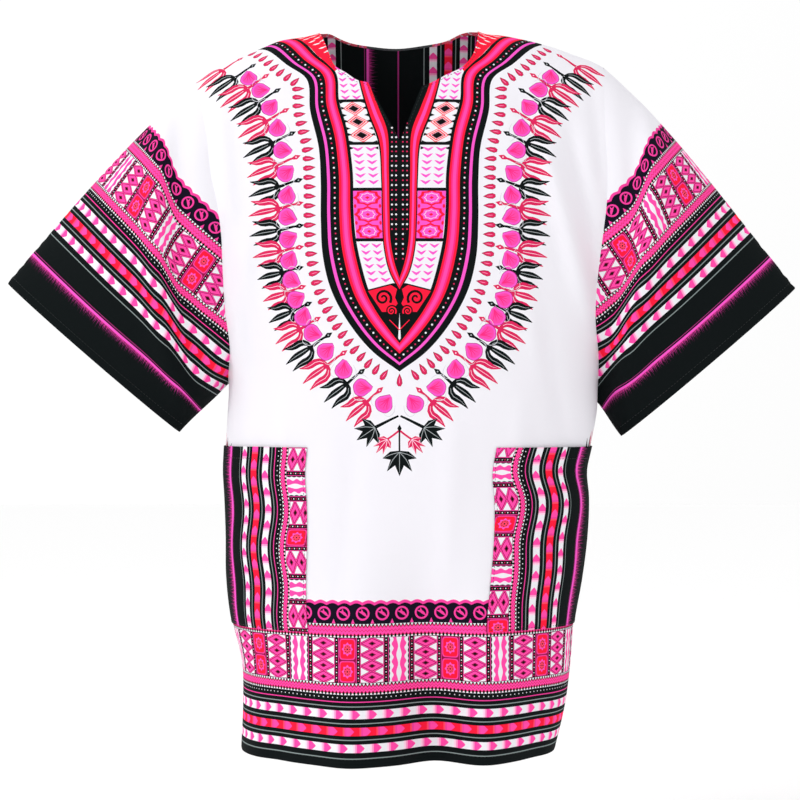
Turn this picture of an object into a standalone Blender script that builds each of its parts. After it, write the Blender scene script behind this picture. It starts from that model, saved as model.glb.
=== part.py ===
"""Dashiki shirt, worn and hollow: front, back, two sleeves, two patch pockets and a back neck facing.

Metres. +Z is up, the front faces -Y, and the viewer's right is +X. The origin is the middle of the neck,
level with the shoulders. Left and right are the viewer's, looking at the front.
Each cloth piece is a grid of points from a smooth form, made into a wall by a Solidify.
"""

import math

import bmesh
import bpy
import numpy as np

# Walls and seams
WALL = 0.0016
POCKET_WALL = 0.0012
FACING_WALL = 0.0012
SEAM_INSET = 0.00025
SHOULDER_INSET = 0.00065
LAID_GAP = 0.00045
FACING_INSET = 0.0015

# Grid of the body panels: columns across, rows up
SHOULDER_COLUMNS = 6
NECK_COLUMNS = 5
SLIT_COLUMNS = 4
SIDE_COLUMNS = SHOULDER_COLUMNS + NECK_COLUMNS + SLIT_COLUMNS
COLUMNS = 2 * SIDE_COLUMNS
HEM_ROWS = 6
POCKET_ROWS = 8
CHEST_ROWS = 4
LOWER_ROWS = HEM_ROWS + POCKET_ROWS + CHEST_ROWS
ARMHOLE_ROWS = 16
SLEEVE_ROWS = 10
POCKET_COLUMNS = 9
POCKET_BULGE = 0.0026
FACING_ROWS = 7

# Levels of the hem, the pocket bottoms, the pocket mouths and the underarms
HEM_Z = -0.753
POCKET_BOTTOM_Z = -0.621
POCKET_TOP_Z = -0.437
UNDERARM_LEFT_Z = -0.371
UNDERARM_RIGHT_Z = -0.391

# How the cloth rounds: across the chest, over the shoulders, and how evenly the columns are spaced
CHEST_POWER = 2.3
SHOULDER_POWER = 2.2
SPACING = 0.115
CENTRE_SHIFT = -0.055
SHOULDER_START_Z = -0.33
ARMHOLE_SPACING = 1.25
SIDE_PULL = 3.0

# Level, left side, right side, seam depth, front depth, back depth. Above the underarms, the
# sides are those of the smooth form that the armholes are cut from.
SIDES = (
    (-0.753, -0.1680, 0.1620, 0.000, 0.130, 0.122),
    (-0.705, -0.1660, 0.1730, 0.000, 0.130, 0.120),
    (-0.660, -0.1675, 0.1785, 0.000, 0.128, 0.117),
    (-0.621, -0.1770, 0.1815, 0.000, 0.126, 0.114),
    (-0.575, -0.1825, 0.1895, 0.002, 0.124, 0.110),
    (-0.530, -0.1830, 0.1950, 0.004, 0.122, 0.107),
    (-0.490, -0.1845, 0.1965, 0.006, 0.120, 0.105),
    (-0.463, -0.1860, 0.1945, 0.007, 0.119, 0.105),
    (-0.437, -0.1850, 0.2000, 0.008, 0.118, 0.105),
    (-0.400, -0.1830, 0.2070, 0.009, 0.117, 0.106),
    (-0.371, -0.1823, 0.2085, 0.010, 0.116, 0.107),
    (-0.330, -0.1950, 0.2170, 0.009, 0.115, 0.109),
    (-0.250, -0.2350, 0.2500, 0.006, 0.114, 0.113),
    (-0.150, -0.2800, 0.2850, 0.002, 0.112, 0.114),
    (-0.050, -0.3000, 0.3000, 0.000, 0.110, 0.112),
    (0.050, -0.3100, 0.3100, 0.000, 0.108, 0.110),
)

# The shoulder line and, between the neck points, the form that the neckline is cut from: x, z
RIDGE = (
    (-0.3400, -0.1700),
    (-0.2600, -0.0950),
    (-0.2152, -0.0540),
    (-0.1936, -0.0385),
    (-0.1725, -0.0280),
    (-0.1488, -0.0195),
    (-0.1277, -0.0110),
    (-0.1013, -0.0065),
    (-0.0860, -0.0025),
    (-0.0756, 0.0030),
    (-0.0500, 0.0110),
    (0.0000, 0.0180),
    (0.0400, 0.0140),
    (0.0660, 0.0060),
    (0.0746, 0.0030),
    (0.0812, -0.0008),
    (0.1100, -0.0058),
    (0.1414, -0.0125),
    (0.1640, -0.0190),
    (0.1836, -0.0262),
    (0.1994, -0.0318),
    (0.2131, -0.0388),
    (0.2600, -0.0800),
    (0.3400, -0.1500),
)
SHOULDER_LEFT_X = -0.2152
SHOULDER_RIGHT_X = 0.2131
NECK_LEFT_X = -0.0860
NECK_RIGHT_X = 0.0812

# Front neckline from the neck point to the top of the slit, then the slit: x, z
NECK_FRONT_LEFT = (
    (-0.0860, -0.0025),
    (-0.0795, -0.0175),
    (-0.0738, -0.0326),
    (-0.0682, -0.0457),
    (-0.0559, -0.0544),
    (-0.0441, -0.0626),
    (-0.0338, -0.0650),
)
NECK_FRONT_RIGHT = (
    (0.0812, -0.0008),
    (0.0784, -0.0192),
    (0.0727, -0.0357),
    (0.0625, -0.0478),
    (0.0471, -0.0561),
    (0.0315, -0.0650),
    (0.0212, -0.0692),
)
SLIT_BOTTOM = (-0.0010, -0.1270)
NECK_BACK = (
    (-0.0860, -0.0025),
    (-0.0756, 0.0002),
    (-0.0675, -0.0020),
    (-0.0585, -0.0048),
    (-0.0302, -0.0087),
    (-0.0046, -0.0102),
    (0.0238, -0.0075),
    (0.0491, -0.0038),
    (0.0660, 0.0015),
    (0.0746, 0.0015),
    (0.0812, -0.0008),
)

# Armhole seams from the underarm to the shoulder: x, z
ARMHOLE_FRONT_LEFT = (
    (-0.1823, -0.3710),
    (-0.1770, -0.3390),
    (-0.1808, -0.2980),
    (-0.1825, -0.2526),
    (-0.1835, -0.2200),
    (-0.1879, -0.1880),
    (-0.1943, -0.1590),
    (-0.1990, -0.1217),
    (-0.2060, -0.0878),
    (-0.2152, -0.0540),
)
ARMHOLE_FRONT_RIGHT = (
    (0.2077, -0.3910),
    (0.2060, -0.3470),
    (0.2000, -0.3010),
    (0.2022, -0.2607),
    (0.2067, -0.2200),
    (0.2105, -0.1876),
    (0.2118, -0.1536),
    (0.2100, -0.1164),
    (0.2100, -0.0805),
    (0.2131, -0.0388),
)
ARMHOLE_BACK_LEFT = (
    (-0.1823, -0.3710),
    (-0.1900, -0.3300),
    (-0.1930, -0.2800),
    (-0.1960, -0.2200),
    (-0.2030, -0.1600),
    (-0.2090, -0.1100),
    (-0.2152, -0.0540),
)
ARMHOLE_BACK_RIGHT = (
    (0.2077, -0.3910),
    (0.2050, -0.3450),
    (0.2070, -0.2900),
    (0.2090, -0.2300),
    (0.2120, -0.1600),
    (0.2130, -0.1000),
    (0.2131, -0.0388),
)

# Cuffs, as seen from the front: upper corner x, z, lower corner x, z. Then how far each bows.
CUFF_LEFT = (-0.4146, -0.2656, -0.2332, -0.4228)
CUFF_RIGHT = (0.4157, -0.2708, 0.2321, -0.4270)
CUFF_BOW = 0.036
CUFF_BOW_POWER = 0.6
CUFF_Y = -0.004
SLEEVE_TOP_SLOPE = 40.0
SLEEVE_BULGE = 0.020

# Upright folds of the front: x at the hem, x at the top, half-width, depth outward, top level
FRONT_FOLDS = (
    (-0.128, -0.120, 0.016, -0.008, -0.600),
    (-0.054, -0.060, 0.032, 0.018, -0.520),
    (0.034, 0.022, 0.030, -0.032, -0.470),
    (0.088, 0.080, 0.026, 0.013, -0.500),
    (0.138, 0.150, 0.014, -0.008, -0.560),
)
BACK_FOLDS = (
    (-0.120, -0.110, 0.018, -0.012, -0.450),
    (-0.070, -0.085, 0.026, 0.012, -0.300),
    (-0.010, -0.020, 0.022, -0.024, -0.380),
    (0.048, 0.060, 0.028, 0.012, -0.330),
    (0.105, 0.110, 0.018, -0.014, -0.430),
)
# Slanted folds by the armholes: start x, z, end x, z, half-width, depth outward
FRONT_CREASES = (
    (0.150, -0.150, 0.188, -0.285, 0.013, 0.007),
    (0.176, -0.130, 0.204, -0.270, 0.011, -0.006),
    (-0.160, -0.250, -0.172, -0.335, 0.013, 0.005),
    (-0.186, -0.090, -0.176, -0.190, 0.010, 0.004),
)
BACK_CREASES = (
    (0.150, -0.120, 0.180, -0.300, 0.015, -0.008),
    (-0.145, -0.120, -0.165, -0.290, 0.015, -0.008),
)
# The upright fold of each sleeve: level, x
SLEEVE_FOLD_LEFT = ((-0.100, -0.232), (-0.200, -0.236), (-0.280, -0.234), (-0.340, -0.228), (-0.420, -0.208))
SLEEVE_FOLD_RIGHT = ((-0.100, 0.246), (-0.200, 0.243), (-0.260, 0.234), (-0.320, 0.224), (-0.420, 0.205))
SLEEVE_FOLD_WIDTH = 0.017
SLEEVE_FOLD_DEPTH = 0.010

WHITE = (0.93, 0.92, 0.95, 1.0)
DARK = (0.004, 0.006, 0.006, 1.0)


def track(table, at):
    """Points of a smooth curve through the rows of a table, whose first column says where along it."""
    rows = np.asarray(table, float)
    knots, values = rows[:, 0], rows[:, 1:]
    steps = np.diff(knots)[:, None]
    slopes = np.diff(values, axis=0) / steps
    ends = (slopes[:-1] * steps[1:] + slopes[1:] * steps[:-1]) / (steps[:-1] + steps[1:])
    tangents = np.vstack((slopes[:1], ends, slopes[-1:]))
    at = np.clip(np.asarray(at, float), knots[0], knots[-1])
    span = np.clip(np.searchsorted(knots, at, side="right") - 1, 0, len(knots) - 2)
    width = (knots[span + 1] - knots[span])[..., None]
    t = (at - knots[span])[..., None] / width
    start = values[span] * (1 + 2 * t) * (1 - t) ** 2 + tangents[span] * width * t * (1 - t) ** 2
    end = values[span + 1] * t**2 * (3 - 2 * t) + tangents[span + 1] * width * t**2 * (t - 1)
    return start + end


def chorded(points):
    """The points as a table whose first column is the share of the way along them."""
    rows = np.asarray(points, float)
    lengths = np.linalg.norm(np.diff(rows, axis=0), axis=1)
    share = np.concatenate(([0.0], np.cumsum(lengths))) / lengths.sum()
    return np.column_stack((share, rows))


def smooth_step(low, high, value):
    """Rises from 0 at low to 1 at high with no corner."""
    t = np.clip((value - low) / (high - low), 0.0, 1.0)
    return t * t * (3 - 2 * t)


def rounded(value, power):
    """The height of a superellipse of size 1 at this distance from its middle."""
    return np.clip(1 - np.clip(np.abs(value), 0, 1) ** power, 0, 1) ** (1 / power)


def fold_depth(x, z, folds, creases):
    """How far the folds bring the cloth outward at these places."""
    depth = np.zeros(np.broadcast(x, z).shape)
    for hem_x, top_x, width, height, top_z in folds:
        share = np.clip((z - HEM_Z) / (top_z - HEM_Z), 0.0, 1.0)
        centre = hem_x + (top_x - hem_x) * share
        spread = width * (1 + 0.5 * share)
        strength = 1 - smooth_step(0.0, 1.0, share)
        depth += height * strength * np.exp(-(((x - centre) / spread) ** 2))
    for start_x, start_z, end_x, end_z, width, height in creases:
        run = np.array((end_x - start_x, end_z - start_z))
        length = np.hypot(*run)
        run = run / length
        along = (x - start_x) * run[0] + (z - start_z) * run[1]
        across = (x - start_x) * run[1] - (z - start_z) * run[0]
        beyond = np.maximum(np.maximum(-along, along - length), 0.0)
        depth += height * np.exp(-((across / width) ** 2) - (beyond / (2.5 * width)) ** 2)
    return depth


def body_depth(x, z, front):
    """The depth, y, of the body's smooth form at x and z, with its folds."""
    left, right, seam, front_depth, back_depth = np.moveaxis(track(SIDES, z), -1, 0)
    middle, half = (left + right) / 2, (right - left) / 2
    ridge = track(RIDGE, x)[..., 0]
    rise = np.maximum(z - SHOULDER_START_Z, 0.0) / np.maximum(ridge - SHOULDER_START_Z, 1e-6)
    shape = rounded((x - middle) / half, CHEST_POWER) * rounded(rise, SHOULDER_POWER)
    if front:
        return seam - front_depth * shape - fold_depth(x, z, FRONT_FOLDS, FRONT_CREASES) * shape
    return seam + back_depth * shape + fold_depth(x, z, BACK_FOLDS, BACK_CREASES) * shape


class Armhole:
    """One half of an armhole seam, from the underarm to the shoulder, measured along the cloth."""

    def __init__(self, table, front):
        self.table = chorded(table)
        self.front = front
        places = np.linspace(0.0, 1.0, 400) ** 2
        points = self.raw(places)
        lengths = np.linalg.norm(np.diff(points, axis=0), axis=1)
        self.share = np.concatenate(([0.0], np.cumsum(lengths))) / lengths.sum()
        self.places = places

    def raw(self, place):
        x, z = np.moveaxis(track(self.table, place), -1, 0)
        return np.stack((x, body_depth(x, z, self.front), z), axis=-1)

    def at(self, share):
        """The point at this share of the seam's length from the underarm."""
        return self.raw(np.interp(share, self.share, self.places))


def top_edge(u, front):
    """x and z of a panel's top edge: shoulder seam, neckline, slit and back again."""
    shoulder = SHOULDER_COLUMNS / COLUMNS
    slit = (SHOULDER_COLUMNS + NECK_COLUMNS) / COLUMNS
    x = np.where(
        u < 0.5,
        SHOULDER_LEFT_X + (NECK_LEFT_X - SHOULDER_LEFT_X) * u / shoulder,
        SHOULDER_RIGHT_X + (NECK_RIGHT_X - SHOULDER_RIGHT_X) * (1 - u) / shoulder,
    )
    z = track(RIDGE, x)[..., 0]
    edge = np.stack((x, z), axis=-1)
    if not front:
        neck = track(chorded(NECK_BACK), (u - shoulder) / (1 - 2 * shoulder))
        inside = (u > shoulder) & (u < 1 - shoulder)
        return np.where(inside[..., None], neck, edge)
    for mirrored, table in ((False, NECK_FRONT_LEFT), (True, NECK_FRONT_RIGHT)):
        place = 1 - u if mirrored else u
        neck = track(chorded(table), (place - shoulder) / (slit - shoulder))
        share = ((place - slit) / (0.5 - slit))[..., None]
        opened = np.asarray(table[-1]) * (1 - share) + np.asarray(SLIT_BOTTOM) * share
        edge = np.where(((place > shoulder) & (place <= 0.5))[..., None], neck, edge)
        edge = np.where(((place > slit) & (place <= 0.5))[..., None], opened, edge)
    return edge


class Panel:
    """The front or the back: a form over u, from side to side, and v, up from the hem.

    v runs from 0 at the hem to 1 at the underarms, and from there to 2 at the shoulders and the neck.
    """

    def __init__(self, front):
        self.front = front
        left, right = (
            (ARMHOLE_FRONT_LEFT, ARMHOLE_FRONT_RIGHT) if front else (ARMHOLE_BACK_LEFT, ARMHOLE_BACK_RIGHT)
        )
        self.left = Armhole(left, front)
        self.right = Armhole(right, front)

    def lower(self, u, v):
        """x and z below the underarms."""
        pocket_bottom = HEM_ROWS / LOWER_ROWS
        pocket_top = (HEM_ROWS + POCKET_ROWS) / LOWER_ROWS
        levels = (
            (0.0, HEM_Z, HEM_Z),
            (pocket_bottom, POCKET_BOTTOM_Z, POCKET_BOTTOM_Z),
            (pocket_top, POCKET_TOP_Z, POCKET_TOP_Z),
            (1.0, UNDERARM_LEFT_Z, UNDERARM_RIGHT_Z),
        )
        left_z, right_z = np.moveaxis(track(levels, v), -1, 0)
        z = left_z + (right_z - left_z) * smooth_step(0.0, 1.0, u)
        left, right = np.moveaxis(track(SIDES, z), -1, 0)[:2]
        angle = math.pi * u + SPACING * np.sin(2 * math.pi * u)
        angle = angle + CENTRE_SHIFT * np.sin(math.pi * u) ** 1.5
        x = (left + right) / 2 - (right - left) / 2 * np.cos(angle)
        return np.stack((x, z), axis=-1)

    def upper(self, u, q):
        """x and z above the underarms, where q is the share of the armhole's length."""
        bottom = self.lower(u, np.ones_like(u))
        top = top_edge(u, self.front)
        up = q[..., None]
        plain = bottom * (1 - up) + top * up
        for seam, side, pull in (
            (self.left, 0.0, (1 - u) ** SIDE_PULL),
            (self.right, 1.0, u**SIDE_PULL),
        ):
            edge = seam.at(q)[..., [0, 2]]
            corner = np.full_like(q, side)
            start = self.lower(corner, np.ones_like(q))
            end = top_edge(corner, self.front)
            plain = plain + (edge - start * (1 - up) - end * up) * pull[..., None]
        return plain

    def point(self, u, v):
        """The cloth's outer face at u and v."""
        u, v = np.broadcast_arrays(np.asarray(u, float), np.asarray(v, float))
        low = self.lower(u, np.minimum(v, 1.0))
        high = self.upper(u, np.clip(v - 1, 0.0, 1.0))
        x, z = np.moveaxis(np.where((v > 1)[..., None], high, low), -1, 0)
        return np.stack((x, body_depth(x, z, self.front), z), axis=-1)

    def grid(self):
        """The panel's points, rows from the hem up and columns from left to right, and their normals."""
        u = np.arange(COLUMNS + 1) / COLUMNS
        low = np.arange(LOWER_ROWS) / LOWER_ROWS
        high = 2 - (np.arange(ARMHOLE_ROWS, -1, -1) / ARMHOLE_ROWS) ** ARMHOLE_SPACING
        points = self.point(u[None, :], np.concatenate((low, high))[:, None])
        return points, normals_of(points, 1.0 if self.front else -1.0)


def normals_of(points, sign):
    """Unit normals of a grid of points."""
    across = np.gradient(points, axis=1)
    up = np.gradient(points, axis=0)
    normals = sign * np.cross(across, up)
    return normals / np.maximum(np.linalg.norm(normals, axis=-1, keepdims=True), 1e-12)


def inset(points, axis, last, distance):
    """Moves one edge of a grid of points inward, for the seam's gap."""
    moved = np.swapaxes(points.copy(), 0, axis)
    edge, inner = (-1, -2) if last else (0, 1)
    way = moved[inner] - moved[edge]
    moved[edge] += way / np.linalg.norm(way, axis=-1, keepdims=True) * distance
    return np.swapaxes(moved, 0, axis)


def sleeve_grid(front, back, cuff, fold, right):
    """Rings of a sleeve from the armhole to the cuff, each from the top round the front and back."""
    turns = 2 * ARMHOLE_ROWS
    around = np.arange(turns) / turns
    on_front = around <= 0.5
    across = np.where(on_front, 2 * around, 2 - 2 * around)
    share = 1 - across**ARMHOLE_SPACING
    start = np.where(on_front[:, None], front.at(share), back.at(share))
    upper, lower = np.array((cuff[0], 0.0, cuff[1])), np.array((cuff[2], 0.0, cuff[3]))
    bow = CUFF_BOW * (1 - (2 * across - 1) ** 2) ** CUFF_BOW_POWER
    end = upper + (lower - upper) * across[:, None]
    end[:, 1] = CUFF_Y + np.where(on_front, -bow, bow)
    way = 1.0 if right else -1.0
    slope = math.radians(SLEEVE_TOP_SLOPE)
    axis = np.cross(lower - upper, (0.0, 1.0, 0.0))
    axis = axis / np.linalg.norm(axis) * (way if axis[0] > 0 else -way)
    top_way = np.array((way * math.cos(slope), 0.0, -math.sin(slope)))
    leave = top_way * (1 - across[:, None]) + axis * across[:, None]
    side = np.where(on_front, -1.0, 1.0) * np.sin(math.pi * across)
    leave[:, 1] += side * 0.10
    length = np.linalg.norm(end - start, axis=-1, keepdims=True)
    s = (np.arange(SLEEVE_ROWS + 1) / SLEEVE_ROWS)[:, None, None]
    points = (
        start * (1 + 2 * s) * (1 - s) ** 2
        + leave * length * s * (1 - s) ** 2
        + end * s**2 * (3 - 2 * s)
        + axis * length * s**2 * (s - 1)
    )
    bulge = SLEEVE_BULGE * 4 * s[..., 0] * (1 - s[..., 0]) * side * (length[:, 0] / length.max())
    points[..., 1] += bulge
    line = track(sorted(fold), points[..., 2])[..., 0]
    outward = (points[..., 0] - line) * way / SLEEVE_FOLD_WIDTH
    wave = np.exp(-((outward - 0.7) ** 2)) - 0.9 * np.exp(-((outward + 0.6) ** 2))
    fade = smooth_step(0.0, 0.25, s[..., 0]) * (1 - smooth_step(0.62, 0.95, s[..., 0]))
    strength = np.where(on_front, 1.0, -0.7) * np.sin(math.pi * across) ** 0.5
    points[..., 1] -= SLEEVE_FOLD_DEPTH * wave * fade * strength
    return points


def cloth(name, points, wall, material, collection, closed=False, flip=False):
    """One cloth piece: a grid of points on its outer face, made a wall inward."""
    rows, columns = points.shape[:2]
    mesh = bpy.data.meshes.new(name)
    shape = bmesh.new()
    corners = [shape.verts.new(tuple(map(float, place))) for place in points.reshape(-1, 3)]
    for row in range(rows - 1):
        for column in range(columns if closed else columns - 1):
            after = (column + 1) % columns
            face = [
                corners[row * columns + column],
                corners[row * columns + after],
                corners[(row + 1) * columns + after],
                corners[(row + 1) * columns + column],
            ]
            shape.faces.new(face[::-1] if flip else face)
    shape.to_mesh(mesh)
    shape.free()
    piece = bpy.data.objects.new(name, mesh)
    piece.data.materials.append(material)
    shell = piece.modifiers.new("Wall", "SOLIDIFY")
    shell.thickness = wall
    shell.offset = -1.0
    collection.objects.link(piece)
    return piece


def pocket_points(points, normals, first):
    """A pocket's outer face: its panel's own points, moved out, and fuller towards its mouth."""
    rows = slice(HEM_ROWS, HEM_ROWS + POCKET_ROWS + 1)
    columns = slice(first, first + POCKET_COLUMNS + 1)
    across = np.sin(math.pi * np.arange(POCKET_COLUMNS + 1) / POCKET_COLUMNS)
    up = np.sin(math.pi / 2 * np.arange(POCKET_ROWS + 1) / POCKET_ROWS)
    bulge = POCKET_BULGE * up[:, None] * across[None, :]
    out = LAID_GAP + POCKET_WALL + bulge
    return points[rows, columns] + normals[rows, columns] * out[..., None]


def facing_points(points, normals):
    """The neck facing's outer face: the back's own points at the neck, moved inside its wall."""
    rows = slice(-1 - FACING_ROWS, None)
    columns = slice(SHOULDER_COLUMNS, COLUMNS - SHOULDER_COLUMNS + 1)
    laid = points[rows, columns] - normals[rows, columns] * (WALL + LAID_GAP)
    laid = inset(laid, 0, True, FACING_INSET)
    for last in (False, True):
        laid = inset(laid, 1, last, SHOULDER_INSET)
    return laid


def finish(name, colour, roughness):
    """A cloth material."""
    material = bpy.data.materials.new(name)
    material.use_nodes = True
    shader = material.node_tree.nodes["Principled BSDF"]
    shader.inputs["Base Color"].default_value = colour
    shader.inputs["Roughness"].default_value = roughness
    return material


def main():
    """Makes the shirt's pieces."""
    for old in list(bpy.data.objects):
        bpy.data.objects.remove(old, do_unlink=True)
    shirt = bpy.data.collections.new("Dashiki shirt")
    bpy.context.scene.collection.children.link(shirt)
    white = finish("White cotton", WHITE, 0.9)
    dark = finish("Dark border cotton", DARK, 0.9)

    front, back = Panel(True), Panel(False)
    for name, panel in (("front", front), ("back", back)):
        points, normals = panel.grid()
        if name == "front":
            for pocket, first in (("pocket_left", 0), ("pocket_right", COLUMNS - POCKET_COLUMNS)):
                laid = pocket_points(points, normals, first)
                for last in (False, True):
                    laid = inset(laid, 1, last, SEAM_INSET)
                cloth(pocket, laid, POCKET_WALL, dark, shirt)
        else:
            cloth("neck_facing", facing_points(points, normals), FACING_WALL, dark, shirt, flip=True)
        for last in (False, True):
            points = inset(points, 1, last, SEAM_INSET)
        points = inset(points, 0, True, SHOULDER_INSET)
        cloth(name, points, WALL, white, shirt, flip=name == "back")

    for name, right, cuff, fold in (
        ("sleeve_left", False, CUFF_LEFT, SLEEVE_FOLD_LEFT),
        ("sleeve_right", True, CUFF_RIGHT, SLEEVE_FOLD_RIGHT),
    ):
        halves = (front.right, back.right) if right else (front.left, back.left)
        rings = sleeve_grid(*halves, cuff, fold, right)
        rings = inset(rings, 0, False, SEAM_INSET)
        cloth(name, rings, WALL, white, shirt, closed=True, flip=not right)


main()
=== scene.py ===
"""Dashiki shirt, worn and hollow: printed cotton cut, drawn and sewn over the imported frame.

Metres. +Z is up, the front faces -Y and the viewer's right is +X. Left and right are the viewer's, looking
at the front. Each cut piece is drawn flat, as filled outlines in the print's colours. The drawing is cut
into triangles along those outlines, and each corner is laid on the piece's worn form.
"""

from __future__ import annotations

import logging
import math
import sys
from collections.abc import Callable, Iterable, Sequence
from dataclasses import dataclass, field
from enum import Enum

import bpy
import numpy as np
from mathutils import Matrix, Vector
from mathutils.geometry import delaunay_2d_cdt

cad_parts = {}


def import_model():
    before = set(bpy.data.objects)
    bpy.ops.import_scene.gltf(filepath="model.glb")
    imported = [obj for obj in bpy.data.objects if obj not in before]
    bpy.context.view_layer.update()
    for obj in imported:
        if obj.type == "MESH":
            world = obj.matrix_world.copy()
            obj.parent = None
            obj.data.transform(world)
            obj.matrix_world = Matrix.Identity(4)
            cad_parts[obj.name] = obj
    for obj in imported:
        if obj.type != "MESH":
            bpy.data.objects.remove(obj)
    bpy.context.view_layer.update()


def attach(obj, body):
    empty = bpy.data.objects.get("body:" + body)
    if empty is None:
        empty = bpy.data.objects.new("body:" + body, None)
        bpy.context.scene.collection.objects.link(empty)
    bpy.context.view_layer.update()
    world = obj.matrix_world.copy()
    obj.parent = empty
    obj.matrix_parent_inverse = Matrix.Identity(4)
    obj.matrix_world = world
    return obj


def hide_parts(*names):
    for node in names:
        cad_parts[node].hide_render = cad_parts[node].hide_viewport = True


LOG = logging.getLogger("dashiki shirt")
Array = np.ndarray
Layout = Callable[[Array], Array]
MM = 0.001

# The worn form, as in the part's solids. Level, left side, right side, seam depth, front depth, back depth
SIDES = (
    (-0.753, -0.1680, 0.1620, 0.000, 0.130, 0.122),
    (-0.705, -0.1660, 0.1730, 0.000, 0.130, 0.120),
    (-0.660, -0.1675, 0.1785, 0.000, 0.128, 0.117),
    (-0.621, -0.1770, 0.1815, 0.000, 0.126, 0.114),
    (-0.575, -0.1825, 0.1895, 0.002, 0.124, 0.110),
    (-0.530, -0.1830, 0.1950, 0.004, 0.122, 0.107),
    (-0.490, -0.1845, 0.1965, 0.006, 0.120, 0.105),
    (-0.463, -0.1860, 0.1945, 0.007, 0.119, 0.105),
    (-0.437, -0.1850, 0.2000, 0.008, 0.118, 0.105),
    (-0.400, -0.1830, 0.2070, 0.009, 0.117, 0.106),
    (-0.371, -0.1823, 0.2085, 0.010, 0.116, 0.107),
    (-0.330, -0.1950, 0.2170, 0.009, 0.115, 0.109),
    (-0.250, -0.2350, 0.2500, 0.006, 0.114, 0.113),
    (-0.150, -0.2800, 0.2850, 0.002, 0.112, 0.114),
    (-0.050, -0.3000, 0.3000, 0.000, 0.110, 0.112),
    (0.050, -0.3100, 0.3100, 0.000, 0.108, 0.110),
)
# The shoulder line, and the form that the neckline is cut from: x, z
RIDGE = (
    (-0.3400, -0.1700), (-0.2600, -0.0950), (-0.2152, -0.0540), (-0.1936, -0.0385), (-0.1725, -0.0280),
    (-0.1488, -0.0195), (-0.1277, -0.0110), (-0.1013, -0.0065), (-0.0860, -0.0025), (-0.0756, 0.0030),
    (-0.0500, 0.0110), (0.0000, 0.0180), (0.0400, 0.0140), (0.0660, 0.0060), (0.0746, 0.0030),
    (0.0812, -0.0008), (0.1100, -0.0058), (0.1414, -0.0125), (0.1640, -0.0190), (0.1836, -0.0262),
    (0.1994, -0.0318), (0.2131, -0.0388), (0.2600, -0.0800), (0.3400, -0.1500),
)
# Front neckline from each neck point to the top of the slit, then the back neckline: x, z
NECK_FRONT_LEFT = (
    (-0.0860, -0.0025), (-0.0795, -0.0175), (-0.0738, -0.0326), (-0.0682, -0.0457), (-0.0559, -0.0544),
    (-0.0441, -0.0626), (-0.0338, -0.0650),
)
NECK_FRONT_RIGHT = (
    (0.0812, -0.0008), (0.0784, -0.0192), (0.0727, -0.0357), (0.0625, -0.0478), (0.0471, -0.0561),
    (0.0315, -0.0650), (0.0212, -0.0692),
)
SLIT_BOTTOM = (-0.0010, -0.1270)
NECK_BACK = (
    (-0.0860, -0.0025), (-0.0756, 0.0002), (-0.0675, -0.0020), (-0.0585, -0.0048), (-0.0302, -0.0087),
    (-0.0046, -0.0102), (0.0238, -0.0075), (0.0491, -0.0038), (0.0660, 0.0015), (0.0746, 0.0015),
    (0.0812, -0.0008),
)
# Armhole seams from the underarm to the shoulder: x, z
ARMHOLE_FRONT_LEFT = (
    (-0.1823, -0.3710), (-0.1770, -0.3390), (-0.1808, -0.2980), (-0.1825, -0.2526), (-0.1835, -0.2200),
    (-0.1879, -0.1880), (-0.1943, -0.1590), (-0.1990, -0.1217), (-0.2060, -0.0878), (-0.2152, -0.0540),
)
ARMHOLE_FRONT_RIGHT = (
    (0.2077, -0.3910), (0.2060, -0.3470), (0.2000, -0.3010), (0.2022, -0.2607), (0.2067, -0.2200),
    (0.2105, -0.1876), (0.2118, -0.1536), (0.2100, -0.1164), (0.2100, -0.0805), (0.2131, -0.0388),
)
ARMHOLE_BACK_LEFT = (
    (-0.1823, -0.3710), (-0.1900, -0.3300), (-0.1930, -0.2800), (-0.1960, -0.2200), (-0.2030, -0.1600),
    (-0.2090, -0.1100), (-0.2152, -0.0540),
)
ARMHOLE_BACK_RIGHT = (
    (0.2077, -0.3910), (0.2050, -0.3450), (0.2070, -0.2900), (0.2090, -0.2300), (0.2120, -0.1600),
    (0.2130, -0.1000), (0.2131, -0.0388),
)
# Upright folds: x at the hem, x at the top, half-width, depth outward, top level
FRONT_FOLDS = (
    (-0.128, -0.120, 0.016, -0.008, -0.600),
    (-0.054, -0.060, 0.032, 0.018, -0.520),
    (0.034, 0.022, 0.030, -0.032, -0.470),
    (0.088, 0.080, 0.026, 0.013, -0.500),
    (0.138, 0.150, 0.014, -0.008, -0.560),
)
BACK_FOLDS = (
    (-0.120, -0.110, 0.018, -0.012, -0.450),
    (-0.070, -0.085, 0.026, 0.012, -0.300),
    (-0.010, -0.020, 0.022, -0.024, -0.380),
    (0.048, 0.060, 0.028, 0.012, -0.330),
    (0.105, 0.110, 0.018, -0.014, -0.430),
)
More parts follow.
